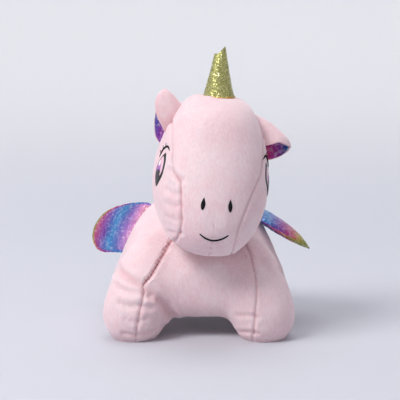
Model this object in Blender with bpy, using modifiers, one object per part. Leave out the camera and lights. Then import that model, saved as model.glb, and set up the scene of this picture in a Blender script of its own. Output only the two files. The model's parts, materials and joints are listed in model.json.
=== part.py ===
"""A plush unicorn: stuffed velour head and torso, glitter horn, foil-lined ears, padded foil wings, mane and tail.

The toy stands on four stubby feet at z = 0 and faces -Y. Its own left side is at +X.
Every length below is in millimetres and every angle in degrees; MM turns them into metres.
Each soft form is made once as a closed solid. Its cloth is that form less the same form drawn inwards, cut
into the panels that are sewn together, and its filling is the form drawn further inwards.
"""

import math

import bmesh
import bpy
from mathutils import Matrix, Vector

MM = 0.001

# Cloth and clearances
VELOUR = 2.6            # plush velour with its pile
FOIL = 1.2              # foil-printed cloth of wings, mane, tail and ear linings
GAP = 0.4               # between pieces that touch
SEAM_GAP = 1.0          # between two panels along a seam
FILL_GAP = 3.2          # between the back of the cloth and the filling
LEG_WAD_MARGIN = 3.0    # a leg's wad is cut from the filling this far outside the leg's own form
JOINT_GAP = 1.2         # between a ball end and its seat
WELD = 0.002            # points closer than this are one

# Torso: (y, half width, top, bottom) of its sections from chest to rump
TORSO_SECTIONS = (
    (-62.0, 34.0, 72.0, 28.0),
    (-53.0, 50.0, 82.0, 20.0),
    (-36.0, 62.0, 92.0, 16.5),
    (-12.0, 70.0, 108.0, 17.0),
    (14.0, 73.0, 127.0, 18.0),
    (40.0, 73.0, 134.0, 20.0),
    (62.0, 65.0, 128.0, 25.0),
    (79.0, 47.0, 108.0, 38.0),
)
CHEST_TIP = (-64.5, 52.0)       # y and z of the front pole
RUMP_TIP = (85.0, 73.0)         # y and z of the rear pole
TORSO_NARROWING = 0.26          # the back is narrower than the belly by this share
TORSO_OFFSET_X = -2.5           # the torso stands a little to the toy's right

# Legs: (height, offset outwards, offset towards the belly, half width, half depth) of a leg's rings
LEG_RINGS = (
    (3.0, 0.0, 0.0, 25.0, 27.0),
    (11.0, 0.5, 0.0, 29.0, 31.0),
    (25.0, 0.5, 0.0, 31.0, 33.0),
    (43.0, -3.0, 2.0, 30.0, 31.0),
    (60.0, -7.5, 8.0, 27.5, 27.0),
    (76.0, -12.0, 17.0, 23.5, 22.0),
    (89.0, -16.0, 27.0, 17.0, 16.0),
)
LEG_TOP = 97.0
FOOT_X = 61.0                   # foot centres either side of the torso's middle
FRONT_FOOT_Y = -50.0
REAR_FOOT_Y = 50.0
SOLE_RADIUS = 20.0
SOLE_HEIGHT = 5.0               # how far up the cloth counts as sole
FORM_CELL = 4.5                 # cell size that melts legs and torso into one form
FORM_TRIANGLES = 760

# Underbody panel: belly and inner legs, and the chest up to the neck
BELLY_SEAM_X = 52.0
BELLY_PANEL_TOP = 62.0
CHEST_PANEL_BACK = -34.0
CHEST_PANEL = (                 # x and z of its outline across the chest
    (-62.0, -20.0), (-62.0, 0.0), (-57.0, 30.0), (-54.0, 54.0), (-41.0, 74.0), (-28.0, 92.0), (-20.0, 110.0),
    (24.0, 110.0), (36.0, 97.0), (45.0, 80.0), (50.0, 60.0), (51.0, 38.0), (48.0, 0.0), (48.0, -20.0),
)

# Neck: a stuffed ball that head and torso both seat on
NECK = Vector((3.5, -30.0, 118.0))
NECK_RADIUS = 31.0

# Head, about the neck centre: (height, half width, reach forwards, reach back, narrowing of the muzzle)
HEAD_SECTIONS = (
    (108.0, 24.0, 34.0, 9.0, 0.0),
    (100.0, 33.0, 47.0, 22.0, 0.0),
    (89.0, 39.0, 57.0, 32.0, 0.0),
    (74.0, 45.5, 65.0, 40.0, 0.02),
    (56.0, 51.0, 72.0, 44.0, 0.06),
    (38.0, 54.0, 79.0, 43.0, 0.14),
    (20.0, 53.5, 84.0, 37.0, 0.2),
    (5.0, 50.0, 86.5, 28.0, 0.2),
    (-8.0, 44.5, 85.0, 16.0, 0.16),
    (-20.0, 36.0, 79.0, 1.0, 0.1),
    (-29.0, 25.0, 70.0, -14.0, 0.0),
)
HEAD_TOP = (-12.0, 111.5)       # y and z of the crown pole
HEAD_CHIN = (-46.0, -34.5)      # y and z of the chin pole
HEAD_YAW = 5.5                  # the head looks a little to the toy's left
HEAD_ROLL = 6.0                 # and leans to the toy's left
HEAD_SQUARENESS = 2.3

# Face panel, (height, half width) of its outline from crown to chin
FACE_PANEL = ((112.0, 40.0), (80.0, 43.0), (50.0, 41.0), (22.0, 33.0), (-2.0, 27.0), (-36.0, 26.0))
FACE_PANEL_BACK = -4.0          # the face panel ends this far behind the neck centre

# Horn
HORN_SEAT = Vector((0.0, -13.0, 108.6))   # centre of the ball end, about the neck centre
HORN_LEAN = -4.5                # about the head's front-back axis
HORN_RADIUS = 15.0
HORN_TOP_RADIUS = 5.2
HORN_HEIGHT = 44.0
HORN_TIP_RISE = 6.0             # the rolled tip rises this much more on one side
HORN_BALL = 13.4
HORN_LIFT = 3.2                 # of the hem above the centre of the ball end

# Ears: a cupped leaf on a straight root. The lining is on the hollow side
EAR_LENGTH = 30.0
EAR_WIDTH = 34.0
EAR_CUP = 10.0                  # depth of the cupped middle
EAR_CLOTH = 2.2                 # thickness of the ear's pink layer
EAR_ROOT = 1.6                  # clearance of the leaf from its hinge line
EAR_AT = Vector((-46.2, -12.0, 86.0))     # middle of the right ear's root, about the neck centre
EAR_ROOT_LINE = (0.386, 0.766, 0.514)     # rises towards the back of the head
EAR_OUT = (-0.463, -0.32, 0.826)
EAR_LEFT_FOLD = 100.0           # the left ear mirrors the right one, but is folded down by this angle

# Wings: a padded petal on a straight root
WING_LENGTH = 47.0
WING_WIDTH = 58.0
WING_SWEEP = 0.58
WING_THICKNESS = 13.0
WING_ROOT = 3.5                 # clearance of the petal from its hinge line
WING_RIGHT_AT = Vector((-68.5, 42.0, 90.0))
WING_LEFT_AT = Vector((62.0, 36.0, 103.0))

# Mane and tail
MANE_THICKNESS = 11.0
TAIL_SEAT = Vector((-2.5, 82.5, 99.0))
TAIL_LENGTH = 60.0
TAIL_RADIUS = 11.5
TAIL_BALL = 7.5
TAIL_START = 0.3                # where along its line the foil begins
TAIL_MOUTH = 5.6                # radius of the opening the filling comes through

# Embroidery lies on the cloth
THREAD_LIFT = 0.35
THREAD_HEIGHT = 0.8
NOSTRIL_AT = (12.2, 18.0)       # x and z about the neck centre
NOSTRIL_SIZE = (4.3, 11.4)
MOUTH_WIDTH = 25.5
MOUTH_AT = -14.5
MOUTH_SAG = 5.2
MOUTH_STROKE = 1.6
EYE_AT = (-30.0, 43.5)          # y and z about the neck centre
EYE_SIZE = (25.0, 40.0)

# Care label and closing stitch
LABEL_SIZE = (13.0, 0.9, 20.0)
LABEL_AT = (40.0, 78.0)         # x and z of its middle
LABEL_LIFT = 1.6
STITCH_THREAD = 0.9
STITCH_PITCH = 3.2
STITCH_REACH = 2.6

SIDES = 18                      # points around a turned or lofted soft form
RED, GREEN, BLUE = range(3)

COLOURS = {
    "velour": ((0.86, 0.62, 0.64), 0.85, 0.0),
    "foil": ((0.55, 0.30, 0.72), 0.35, 0.6),
    "glitter": ((0.62, 0.52, 0.16), 0.4, 0.7),
    "thread": ((0.01, 0.01, 0.012), 0.5, 0.0),
    "pink_thread": ((0.78, 0.45, 0.48), 0.6, 0.0),
    "fill": ((0.92, 0.92, 0.9), 0.95, 0.0),
    "ribbon": ((0.93, 0.93, 0.93), 0.45, 0.0),
}


# ---------------------------------------------------------------- scene helpers

def clear_scene():
    for obj in list(bpy.data.objects):
        bpy.data.objects.remove(obj)


def collection(name, hidden=False):
    found = bpy.data.collections.new(name)
    bpy.context.scene.collection.children.link(found)
    found.hide_render = hidden
    return found


def material(kind):
    found = bpy.data.materials.get(kind)
    if found:
        return found
    colour, roughness, metallic = COLOURS[kind]
    found = bpy.data.materials.new(kind)
    found.use_nodes = True
    shader = found.node_tree.nodes["Principled BSDF"]
    shader.inputs["Base Color"].default_value = (*colour, 1.0)
    shader.inputs["Roughness"].default_value = roughness
    shader.inputs["Metallic"].default_value = metallic
    return found


def object_of(name, build, where):
    """A mesh object from a bmesh in millimetres, with its normals turned outwards."""
    bmesh.ops.recalc_face_normals(build, faces=build.faces)
    bmesh.ops.scale(build, vec=(MM, MM, MM), verts=build.verts)
    mesh = bpy.data.meshes.new(name)
    build.to_mesh(mesh)
    build.free()
    obj = bpy.data.objects.new(name, mesh)
    where.objects.link(obj)
    if where is HELPERS:
        obj.hide_render = True
        obj.display_type = "WIRE"
    return obj


def finish(obj, kind, parent=None):
    """Gives a finished piece its material, its smooth shading and its joint's empty as parent."""
    obj.data.materials.clear()
    obj.data.materials.append(material(kind))
    obj.data.shade_smooth()
    obj.data.set_sharp_from_angle(angle=math.radians(40))
    if parent:
        obj.parent = parent
    return obj


def copy_of(obj, name, where):
    made = bpy.data.objects.new(name, obj.data.copy())
    where.objects.link(made)
    made.hide_render = where is HELPERS
    return made


def applied(obj):
    """Writes an object's modifiers into its mesh, as triangles, and welds what a Boolean left a hair apart."""
    graph = bpy.context.evaluated_depsgraph_get()
    mesh = bpy.data.meshes.new_from_object(obj.evaluated_get(graph))
    obj.modifiers.clear()
    build = bmesh.new()
    build.from_mesh(mesh)
    bmesh.ops.remove_doubles(build, verts=build.verts, dist=WELD * MM)
    bmesh.ops.triangulate(build, faces=build.faces)
    build.to_mesh(mesh)
    build.free()
    obj.data = mesh
    return obj


def cut(obj, *cutters, operation="DIFFERENCE"):
    for cutter in cutters:
        modifier = obj.modifiers.new(operation.lower(), "BOOLEAN")
        modifier.operation = operation
        modifier.object = cutter
        applied(obj)
    return obj


def keep_inside(obj, *cutters):
    return cut(obj, *cutters, operation="INTERSECT")


def empty_at(name, place, turn=None):
    found = bpy.data.objects.new(name, None)
    PARTS.objects.link(found)
    matrix = Matrix.Translation(place * MM)
    found.matrix_world = matrix @ turn.to_4x4() if turn else matrix
    return found


# ---------------------------------------------------------------- shape helpers

def box(name, low, high, where=None):
    build = bmesh.new()
    size = Vector(high) - Vector(low)
    middle = (Vector(high) + Vector(low)) / 2
    bmesh.ops.create_cube(build, size=1.0, matrix=Matrix.Translation(middle) @ Matrix.Diagonal((*size, 1.0)))
    return object_of(name, build, where or HELPERS)


def ball(name, centre, radius, where=None, segments=SIDES, rings=14):
    build = bmesh.new()
    bmesh.ops.create_uvsphere(build, u_segments=segments, v_segments=rings, radius=radius,
                              matrix=Matrix.Translation(centre))
    return object_of(name, build, where or HELPERS)


def rod(name, centre, radius, length, where=None, segments=SIDES):
    """An upright cylinder."""
    build = bmesh.new()
    bmesh.ops.create_cone(build, cap_ends=True, segments=segments, radius1=radius, radius2=radius,
                          depth=length, matrix=Matrix.Translation(centre))
    return object_of(name, build, where or HELPERS)


def curve_through(values, count):
    """count rows read evenly from a smooth curve through the given rows of numbers."""
    rows = []
    last = len(values) - 1
    for step in range(count):
        t = step * last / (count - 1)
        k = min(int(t), last - 1)
        t -= k
        before, start, end, after = (values[max(0, min(last, k + d))] for d in (-1, 0, 1, 2))
        row = []
        for a, b, c, d in zip(before, start, end, after):
            row.append(0.5 * (2 * b + (c - a) * t + (2 * a - 5 * b + 4 * c - d) * t * t
                              + (3 * b - a - 3 * c + d) * t ** 3))
        rows.append(row)
    return rows


def loft(name, rings, first, last, where=None):
    """A closed skin over rings of equally many points, drawn together to a pole at each end."""
    build = bmesh.new()
    grown = [[build.verts.new(point) for point in ring] for ring in rings]
    count = len(grown[0])
    for lower, upper in zip(grown, grown[1:]):
        for k in range(count):
            after = (k + 1) % count
            build.faces.new((lower[k], lower[after], upper[after], upper[k]))
    for ring, pole in ((grown[0], first), (grown[-1], last)):
        tip = build.verts.new(pole)
        for k in range(count):
            build.faces.new((ring[k], ring[(k + 1) % count], tip))
    return object_of(name, build, where or HELPERS)


def super_ring(count, half_width, half_depth, squareness):
    """Points of a rounded rectangle about the origin."""
    points = []
    for k in range(count):
        angle = 2 * math.pi * k / count
        c, s = math.cos(angle), math.sin(angle)
        points.append((half_width * math.copysign(abs(c) ** (2 / squareness), c),
                       half_depth * math.copysign(abs(s) ** (2 / squareness), s)))
    return points


def prism(name, outline, axis, low, high, where=None):
    """A flat outline in the two axes other than the given one, drawn out from low to high."""
    build = bmesh.new()
    other = [k for k in range(3) if k != axis]
    corners = []
    for point in outline:
        place = [0.0, 0.0, 0.0]
        place[other[0]], place[other[1]] = point
        place[axis] = low
        corners.append(build.verts.new(place))
    face = build.faces.new(corners)
    grown = bmesh.ops.extrude_face_region(build, geom=[face])["geom"]
    move = Vector((0.0, 0.0, 0.0))
    move[axis] = high - low
    bmesh.ops.translate(build, vec=move, verts=[g for g in grown if isinstance(g, bmesh.types.BMVert)])
    return object_of(name, build, where or HELPERS)


def drawn_in(obj, depth, name):
    """A copy of a closed soft form with its skin moved inwards, or outwards for a negative depth."""
    made = copy_of(obj, name, HELPERS)
    normals = [vertex.normal.copy() for vertex in made.data.vertices]
    for vertex, normal in zip(made.data.vertices, normals):
        vertex.co -= normal * depth * MM
    return made


def panel(form, inside, name, kind, parent, keep=(), remove=()):
    """One panel of a form's cloth, which lies between the form and its inner side."""
    made = copy_of(form, name, PARTS)
    keep_inside(made, *keep)
    cut(made, *remove, inside)
    return finish(made, kind, parent)


# ---------------------------------------------------------------- torso

def torso_core():
    """The barrel of the body, from chest to rump, without legs."""
    rings = []
    for y, half_width, top, bottom in curve_through(TORSO_SECTIONS, 11):
        middle, half = (top + bottom) / 2, (top - bottom) / 2
        ring = []
        for across, up in super_ring(SIDES, half_width, half, 2.3):
            narrowing = 1 - TORSO_NARROWING * up / half
            ring.append((TORSO_OFFSET_X + across * narrowing, y, middle + up))
        rings.append(ring)
    return loft("torso_core", rings, (TORSO_OFFSET_X, *CHEST_TIP), (TORSO_OFFSET_X, *RUMP_TIP))


def leg_form(side, foot_y, inset=0.0):
    """One stubby leg, from its flat foot to where it melts into the barrel."""
    rings = []
    sole = [(0.0, 0.0, 0.0, 20.0, 22.0)]
    inwards = -math.copysign(1.0, foot_y)
    for height, outwards, along, half_width, half_depth in sole + list(LEG_RINGS):
        centre = Vector((TORSO_OFFSET_X + side * (FOOT_X + outwards), foot_y + inwards * along))
        points = super_ring(16, half_width - inset, half_depth - inset, 2.2)
        rings.append([(centre.x + px, centre.y + py, height) for px, py in points])
    foot = TORSO_OFFSET_X + side * FOOT_X
    return loft("leg_form", rings, (foot, foot_y, 0.0), (centre.x, centre.y, LEG_TOP - inset))


def melt(form, softness):
    """Draws overlapping forms into one even skin."""
    remesh = form.modifiers.new("melt", "REMESH")
    remesh.mode = "VOXEL"
    remesh.voxel_size = FORM_CELL * MM
    smooth = form.modifiers.new("soften", "SMOOTH")
    smooth.factor, smooth.iterations = 0.5, softness
    return applied(form)


def thin(form, triangles):
    """Lowers the count of triangles to about the given number."""
    decimate = form.modifiers.new("thin", "DECIMATE")
    decimate.ratio = triangles / sum(len(face.vertices) - 2 for face in form.data.polygons)
    return applied(form)


def torso_form():
    """Barrel and legs melted into one soft form, flat under the feet, and the inner side of its cloth."""
    forms = [torso_core()]
    for side in (-1, 1):
        for foot_y in (FRONT_FOOT_Y, REAR_FOOT_Y):
            forms.append(leg_form(side, foot_y))
    form = forms[0]
    for other in forms[1:]:
        cut(form, other, operation="UNION")
    melt(form, 10)
    inside = melt(drawn_in(form, VELOUR, "torso_inside"), 2)
    fill = melt(drawn_in(form, VELOUR + FILL_GAP, "torso_fill"), 2)
    thin(form, FORM_TRIANGLES)
    thin(inside, FORM_TRIANGLES * 0.6)
    thin(fill, FORM_TRIANGLES * 0.6)
    lowest = min(vertex.co.z for vertex in form.data.vertices)
    for vertex in form.data.vertices:
        height = vertex.co.z - lowest
        vertex.co.z = 0.0 if height < 2.2 * MM else height
    for other in (inside, fill):
        other.data.transform(Matrix.Translation((0.0, 0.0, -lowest)))
    form.name = "torso_form"
    return form, inside, fill


def under_region(grown):
    """Everything that belongs to the underbody panel, its edge moved outwards by the given distance."""
    far = 200.0
    middle_x, middle_z = 0.0, 40.0
    outline = []
    for x, z in CHEST_PANEL:
        outline.append((x + math.copysign(grown, x - middle_x), z + (grown if z > middle_z + 60 else 0.0)))
    chest = prism("chest_region", outline, GREEN, -far, CHEST_PANEL_BACK + grown)
    reach = BELLY_SEAM_X + grown
    belly = box("belly_region", (TORSO_OFFSET_X - reach, CHEST_PANEL_BACK - 10.0, -30.0),
                (TORSO_OFFSET_X + reach, far, BELLY_PANEL_TOP + grown))
    return cut(chest, belly, operation="UNION")


def make_torso(neck_seat):
    form, inside, fill = torso_form()
    half_seam = SEAM_GAP / 2
    far = 200.0
    under = under_region(-half_seam)
    under_grown = under_region(half_seam)
    soles, soles_grown = [], []
    for front, foot_y in (("front", FRONT_FOOT_Y), ("rear", REAR_FOOT_Y)):
        for hand, side in (("right", -1), ("left", 1)):
            centre = (TORSO_OFFSET_X + side * FOOT_X, foot_y, 0.0)
            name = f"sole_{front}_{hand}"
            soles.append((name, rod(name + "_region", centre, SOLE_RADIUS - half_seam, 2 * SOLE_HEIGHT)))
            soles_grown.append(rod(name + "_grown", centre, SOLE_RADIUS + half_seam,
                                   2 * SOLE_HEIGHT + SEAM_GAP))
    panel(form, inside, "underbody_panel", "velour", TORSO, keep=(under,), remove=(neck_seat, *soles_grown))
    for hand, side in (("right", -1), ("left", 1)):
        edges = sorted((TORSO_OFFSET_X + side * half_seam, side * far))
        half = box(f"half_{hand}", (edges[0], -far, -far), (edges[1], far, far))
        panel(form, inside, f"side_panel_{hand}", "velour", TORSO, keep=(half,),
              remove=(under_grown, neck_seat, *soles_grown))
    for name, region in soles:
        panel(form, inside, name, "velour", TORSO, keep=(region,))
    make_torso_fill(fill, neck_seat)
    return form


def make_torso_fill(fill, neck_seat):
    """The filling in five wads: one for each leg, and the barrel between them."""
    core = copy_of(fill, "torso_stuffing", PARTS)
    cut(core, neck_seat)
    for front, foot_y in (("front", FRONT_FOOT_Y), ("rear", REAR_FOOT_Y)):
        for hand, side in (("right", -1), ("left", 1)):
            wad = copy_of(fill, f"leg_stuffing_{front}_{hand}", PARTS)
            keep_inside(wad, leg_form(side, foot_y, -LEG_WAD_MARGIN))
            finish(cut(wad, neck_seat), "fill", TORSO)
            cut(core, leg_form(side, foot_y, -LEG_WAD_MARGIN - GAP))
    finish(core, "fill", TORSO)


# ---------------------------------------------------------------- head

def head_form():
    rings = []
    for height, half_width, front, back, narrowing in curve_through(HEAD_SECTIONS, 12):
        middle, half = (back - front) / 2, (back + front) / 2
        ring = []
        for across, along in super_ring(SIDES, half_width, half, HEAD_SQUARENESS):
            forwards = max(0.0, -along / half)
            ring.append((across * (1 - narrowing * forwards ** 1.5), middle + along, height))
        rings.append(ring)
    return loft("head_form", rings, (0.0, *HEAD_TOP), (0.0, *HEAD_CHIN))


def face_outline(grown):
    right = [(width + grown, height) for height, width in FACE_PANEL]
    left = [(-x, z) for x, z in reversed(right)]
    return right + left


def stroke(points, width):
    """Outline of a band of that width along a line of points."""
    left, right = [], []
    for k, point in enumerate(points):
        ahead = Vector(points[min(k + 1, len(points) - 1)])
        behind = Vector(points[max(k - 1, 0)])
        along = (ahead - behind).normalized()
        aside = Vector((-along.y, along.x)) * width / 2
        left.append(tuple(Vector(point) + aside))
        right.append(tuple(Vector(point) - aside))
    return left + right[::-1]


def teardrop(centre, width, height, count=18):
    """A drop with its point upwards."""
    points = []
    for k in range(count):
        angle = 2 * math.pi * k / count
        up = math.cos(angle)
        taper = 1.0 if up < 0 else (1 - up) ** 0.75
        points.append((centre[0] + width / 2 * math.sin(angle) * taper, centre[1] + height / 2 * up))
    return points


def eye_outline(count=22):
    """An upright almond, pointed above, wider towards the back."""
    points = []
    for k in range(count):
        angle = 2 * math.pi * k / count
        up, along = math.cos(angle), math.sin(angle)
        taper = (1 - 0.6 * max(0.0, up) ** 2) * (1 - 0.25 * max(0.0, -up) ** 2)
        points.append((EYE_AT[0] + EYE_SIZE[0] / 2 * along * taper, EYE_AT[1] + EYE_SIZE[1] / 2 * up))
    return points


def make_head(neck_seat):
    form = head_form()
    far = 200.0
    seat = copy_of(neck_seat, "head_seat", HELPERS)
    seat.data.transform(Matrix.Translation(-NECK * MM))
    horn_seat = ball("horn_seat", HORN_SEAT, HORN_BALL + JOINT_GAP)
    inside = drawn_in(form, VELOUR, "head_inside")
    half_seam = SEAM_GAP / 2
    face = prism("face_region", face_outline(-half_seam), GREEN, -far, FACE_PANEL_BACK - half_seam)
    face_grown = prism("face_region_grown", face_outline(half_seam), GREEN, -far, FACE_PANEL_BACK + half_seam)
    panel(form, inside, "face_panel", "velour", HEAD, keep=(face,), remove=(seat, horn_seat))
    for hand, side in (("right", -1), ("left", 1)):
        edges = sorted((side * half_seam, side * far))
        half = box(f"head_half_{hand}", (edges[0], -far, -far), (edges[1], far, far))
        panel(form, inside, f"head_side_{hand}", "velour", HEAD, keep=(half,), remove=(face_grown, seat, horn_seat))
    filling = copy_of(drawn_in(form, VELOUR + GAP, "head_fill_form"), "head_stuffing", PARTS)
    finish(cut(filling, seat, horn_seat), "fill", HEAD)

    under = drawn_in(form, -THREAD_LIFT, "thread_under")
    layer = drawn_in(form, -THREAD_LIFT - THREAD_HEIGHT, "thread_layer")
    for hand, side in (("right", -1), ("left", 1)):
        nostril = prism("nostril_region", teardrop((side * NOSTRIL_AT[0], NOSTRIL_AT[1]), *NOSTRIL_SIZE),
                        GREEN, -far, -40.0)
        panel(layer, under, f"nostril_{hand}", "thread", HEAD, keep=(nostril,))
        edges = sorted((side * 20.0, side * far))
        eye = prism("eye_region", eye_outline(), RED, *edges)
        panel(layer, under, f"eye_{hand}", "thread", HEAD, keep=(eye,))
    half_width = MOUTH_WIDTH / 2
    smile = []
    for k in range(11):
        across = (k / 5 - 1) * half_width
        smile.append((across, MOUTH_AT + MOUTH_SAG * (across / half_width) ** 2))
    mouth = prism("mouth_region", stroke(smile, MOUTH_STROKE), GREEN, -far, -40.0)
    panel(layer, under, "mouth_stitch", "thread", HEAD, keep=(mouth,))
    return form


# ---------------------------------------------------------------- horn

def make_horn():
    build = bmesh.new()
    rows = 7
    rings = []
    for row in range(rows):
        t = row / (rows - 1)
        radius = HORN_RADIUS + (HORN_TOP_RADIUS - HORN_RADIUS) * t ** 0.92
        ring = []
        for k in range(SIDES):
            angle = 2 * math.pi * k / SIDES
            rise = HORN_TIP_RISE * t ** 3 * (0.5 + 0.5 * math.cos(angle))
            ring.append(build.verts.new((radius * math.cos(angle), radius * math.sin(angle),
                                         HORN_HEIGHT * t + rise)))
        rings.append(ring)
    for lower, upper in zip(rings, rings[1:]):
        for k in range(SIDES):
            after = (k + 1) % SIDES
            build.faces.new((lower[k], lower[after], upper[after], upper[k]))
    cover = object_of("horn_cover", build, PARTS)
    lift = HORN_LIFT
    cover.data.transform(Matrix.Translation((0, 0, lift * MM)))
    wall = cover.modifiers.new("cloth", "SOLIDIFY")
    wall.thickness = FOIL * MM
    wall.offset = -1.0
    finish(cover, "glitter", HORN)

    profile = []
    for k in range(7):
        angle = -math.pi / 2 + k * (math.pi / 2) / 6
        profile.append((HORN_BALL * math.cos(angle), HORN_BALL * math.sin(angle)))
    top = HORN_HEIGHT * 0.86
    shrink = FOIL + GAP
    for k in range(1, 5):
        t = k / 4
        radius = HORN_BALL + (HORN_TOP_RADIUS - shrink - HORN_BALL + 1.2) * t
        profile.append((radius * 0.97, lift + top * t))
    rings = [[(r * math.cos(2 * math.pi * k / SIDES), r * math.sin(2 * math.pi * k / SIDES), z)
              for k in range(SIDES)] for r, z in profile[1:]]
    fill = loft("horn_stuffing", rings, (0, 0, -HORN_BALL), (0, 0, lift + top + 1.5), PARTS)
    finish(fill, "fill", HORN)


# ---------------------------------------------------------------- ears

def leaf_layer(name, kind, parent, offset, thickness):
    """One cloth layer of an ear. The leaf stands along +Z on a root along Y, and +X is its back."""
    rows, columns = 6, 8
    build = bmesh.new()
    grid = []
    for row in range(rows + 1):
        t = row / rows
        half = EAR_WIDTH / 2 * (0.74 + 0.55 * t) * math.sqrt(max(0.0, 1 - t ** 2.6)) + 0.8
        line = []
        for column in range(columns + 1):
            s = 2 * column / columns - 1
            cup = EAR_CUP * (0.35 - s * s) * (half / (EAR_WIDTH / 2)) * (1 - 0.3 * t)
            line.append(build.verts.new((cup, half * s, EAR_ROOT + EAR_LENGTH * t - 0.06 * abs(s) * half)))
        grid.append(line)
    for lower, upper in zip(grid, grid[1:]):
        for k in range(columns):
            build.faces.new((lower[k], lower[k + 1], upper[k + 1], upper[k]))
    made = object_of(name, build, PARTS)
    for vertex in made.data.vertices:
        normal = vertex.normal if vertex.normal.x > 0 else -vertex.normal
        vertex.co += normal * offset * MM
    wall = made.modifiers.new("cloth", "SOLIDIFY")
    wall.thickness = thickness * MM
    wall.offset = 0.0
    return finish(made, kind, parent)


def make_ear(hand, joint):
    leaf_layer(f"ear_{hand}_back", "velour", joint, EAR_CLOTH / 2, EAR_CLOTH)
    leaf_layer(f"ear_{hand}_lining", "foil", joint, -FOIL / 2 - GAP, FOIL)


# ---------------------------------------------------------------- wings, mane and tail

def pillow(name, outline, thickness, flatten=1.0):
    """A lens with the given outline in X and Y, crowned in Z."""
    middle = Vector((sum(p[0] for p in outline), sum(p[1] for p in outline))) / len(outline)
    rings = []
    for share in (-0.35, -0.65, -0.88, -0.985, 1.0, 0.985, 0.88, 0.65, 0.35):
        reach = abs(share)
        height = thickness / 2 * math.sqrt(max(0.0, 1 - reach ** 2.4)) * math.copysign(1.0, share) * flatten
        height = 0.0 if reach == 1.0 else height
        rings.append([(middle.x + (x - middle.x) * reach, middle.y + (y - middle.y) * reach, height)
                      for x, y in outline])
    return loft(name, rings, (middle.x, middle.y, -thickness / 2 * flatten),
                (middle.x, middle.y, thickness / 2 * flatten))


def wing_outline(count=22):
    """A petal on a straight root along Y, swept towards +Y as it leaves the body."""
    points = []
    for k in range(count):
        angle = math.pi * k / (count - 1)
        out = WING_LENGTH * math.sin(angle) ** 0.8
        along = -WING_WIDTH / 2 * math.cos(angle) * (0.72 + 0.28 * math.sin(angle))
        points.append((WING_ROOT + out, along + WING_SWEEP * out))
    return points


def make_wing(hand, joint):
    form = pillow("wing_form", wing_outline(), WING_THICKNESS)
    inside = drawn_in(form, FOIL, "wing_inside")
    far = 200.0
    top = box("wing_top_half", (-far, -far, GAP / 2), (far, far, far))
    under = box("wing_under_half", (-far, -far, -far), (far, far, -GAP / 2))
    panel(form, inside, f"wing_{hand}_top_cover", "foil", joint, keep=(top,))
    panel(form, inside, f"wing_{hand}_under_cover", "foil", joint, keep=(under,))
    batting = copy_of(drawn_in(form, FOIL + GAP, "batting_form"), f"wing_{hand}_batting", PARTS)
    finish(batting, "fill", joint)


def mane_outline():
    """A scalloped crest down the back of the head, in Y and Z about the neck centre."""
    spine = [(y, z) for z, y in ((98, 18), (88, 29), (72, 38), (54, 42.5), (36, 41.5), (22, 37))]
    inner = [(y + 1.6, z) for y, z in spine]
    outer = []
    lobes = 4
    rows = curve_through(spine, 4 * lobes + 1)
    for k, (y, z) in enumerate(rows):
        height = 7.0 + 9.0 * abs(math.sin(math.pi * lobes * k / (len(rows) - 1)))
        height *= 0.45 + 0.55 * math.sin(math.pi * (k + 1) / (len(rows) + 1))
        ahead, behind = rows[min(k + 1, len(rows) - 1)], rows[max(k - 1, 0)]
        along = (Vector(ahead) - Vector(behind)).normalized()
        outer.append((y - along.y * height, z + along.x * height))
    return inner + outer[::-1]


def make_mane(head):
    crest = prism("mane", mane_outline(), RED, -MANE_THICKNESS / 2, MANE_THICKNESS / 2, PARTS)
    cut(crest, drawn_in(head, -GAP, "mane_bed"))
    bevel = crest.modifiers.new("soft_edges", "BEVEL")
    bevel.width = 2.4 * MM
    bevel.segments = 2
    bevel.limit_method = "ANGLE"
    bevel.angle_limit = math.radians(60)
    finish(crest, "foil", HEAD)


def tail_axis(t):
    """The tail's middle line about its seat: back and down, with its tip kicked up."""
    return Vector((0.0, TAIL_LENGTH * (0.52 * t + 0.02 * math.sin(math.pi * t)),
                   -TAIL_LENGTH * (0.1 * t + 0.95 * t * t - 0.22 * t ** 4)))


def tail_radius(t):
    swell = TAIL_RADIUS * (0.42 + 0.6 * math.sin(math.pi * t ** 0.8))
    return max(2.0, swell * math.sqrt(max(0.02, 1 - t ** 3)))


def ring_across(centre, along, radius, count=16):
    aside = Vector((1.0, 0.0, 0.0))
    up = along.cross(aside).normalized()
    turns = [2 * math.pi * k / count for k in range(count)]
    return [tuple(centre + aside * radius * math.cos(a) + up * radius * math.sin(a)) for a in turns]


def tail_ring(t, inset=0.0):
    along = tail_axis(t + 0.01) - tail_axis(t - 0.01)
    return ring_across(tail_axis(t), along.normalized(), tail_radius(t) - inset)


def make_tail():
    rows = 9
    steps = [TAIL_START + (1 - TAIL_START) * row / rows for row in range(rows)]
    form = loft("tail_form", [tail_ring(t) for t in steps], tuple(tail_axis(TAIL_START)), tuple(tail_axis(1.0)))
    cover = copy_of(form, "tail_cover", PARTS)
    inside = drawn_in(form, FOIL, "tail_inside")
    mouth = ball("tail_mouth", tail_axis(TAIL_START), TAIL_MOUTH, segments=12, rings=8)
    cut(cover, inside, mouth)
    finish(cover, "foil", TAIL)

    along = tail_axis(TAIL_START).normalized()
    rings = []
    for angle in (-60, -30, 0, 30, 58):
        tilt = math.radians(angle)
        rings.append(ring_across(along * TAIL_BALL * math.sin(tilt), along, TAIL_BALL * math.cos(tilt)))
    rings.append(ring_across(tail_axis(TAIL_START), along, TAIL_MOUTH - 3.0))
    inset = FOIL + 1.6
    rings += [tail_ring(t, inset) for t in steps[2:-1]]
    fill = loft("tail_stuffing", rings, tuple(-along * TAIL_BALL), tuple(tail_axis(steps[-1])), PARTS)
    finish(fill, "fill", TAIL)


# ---------------------------------------------------------------- small things

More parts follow.
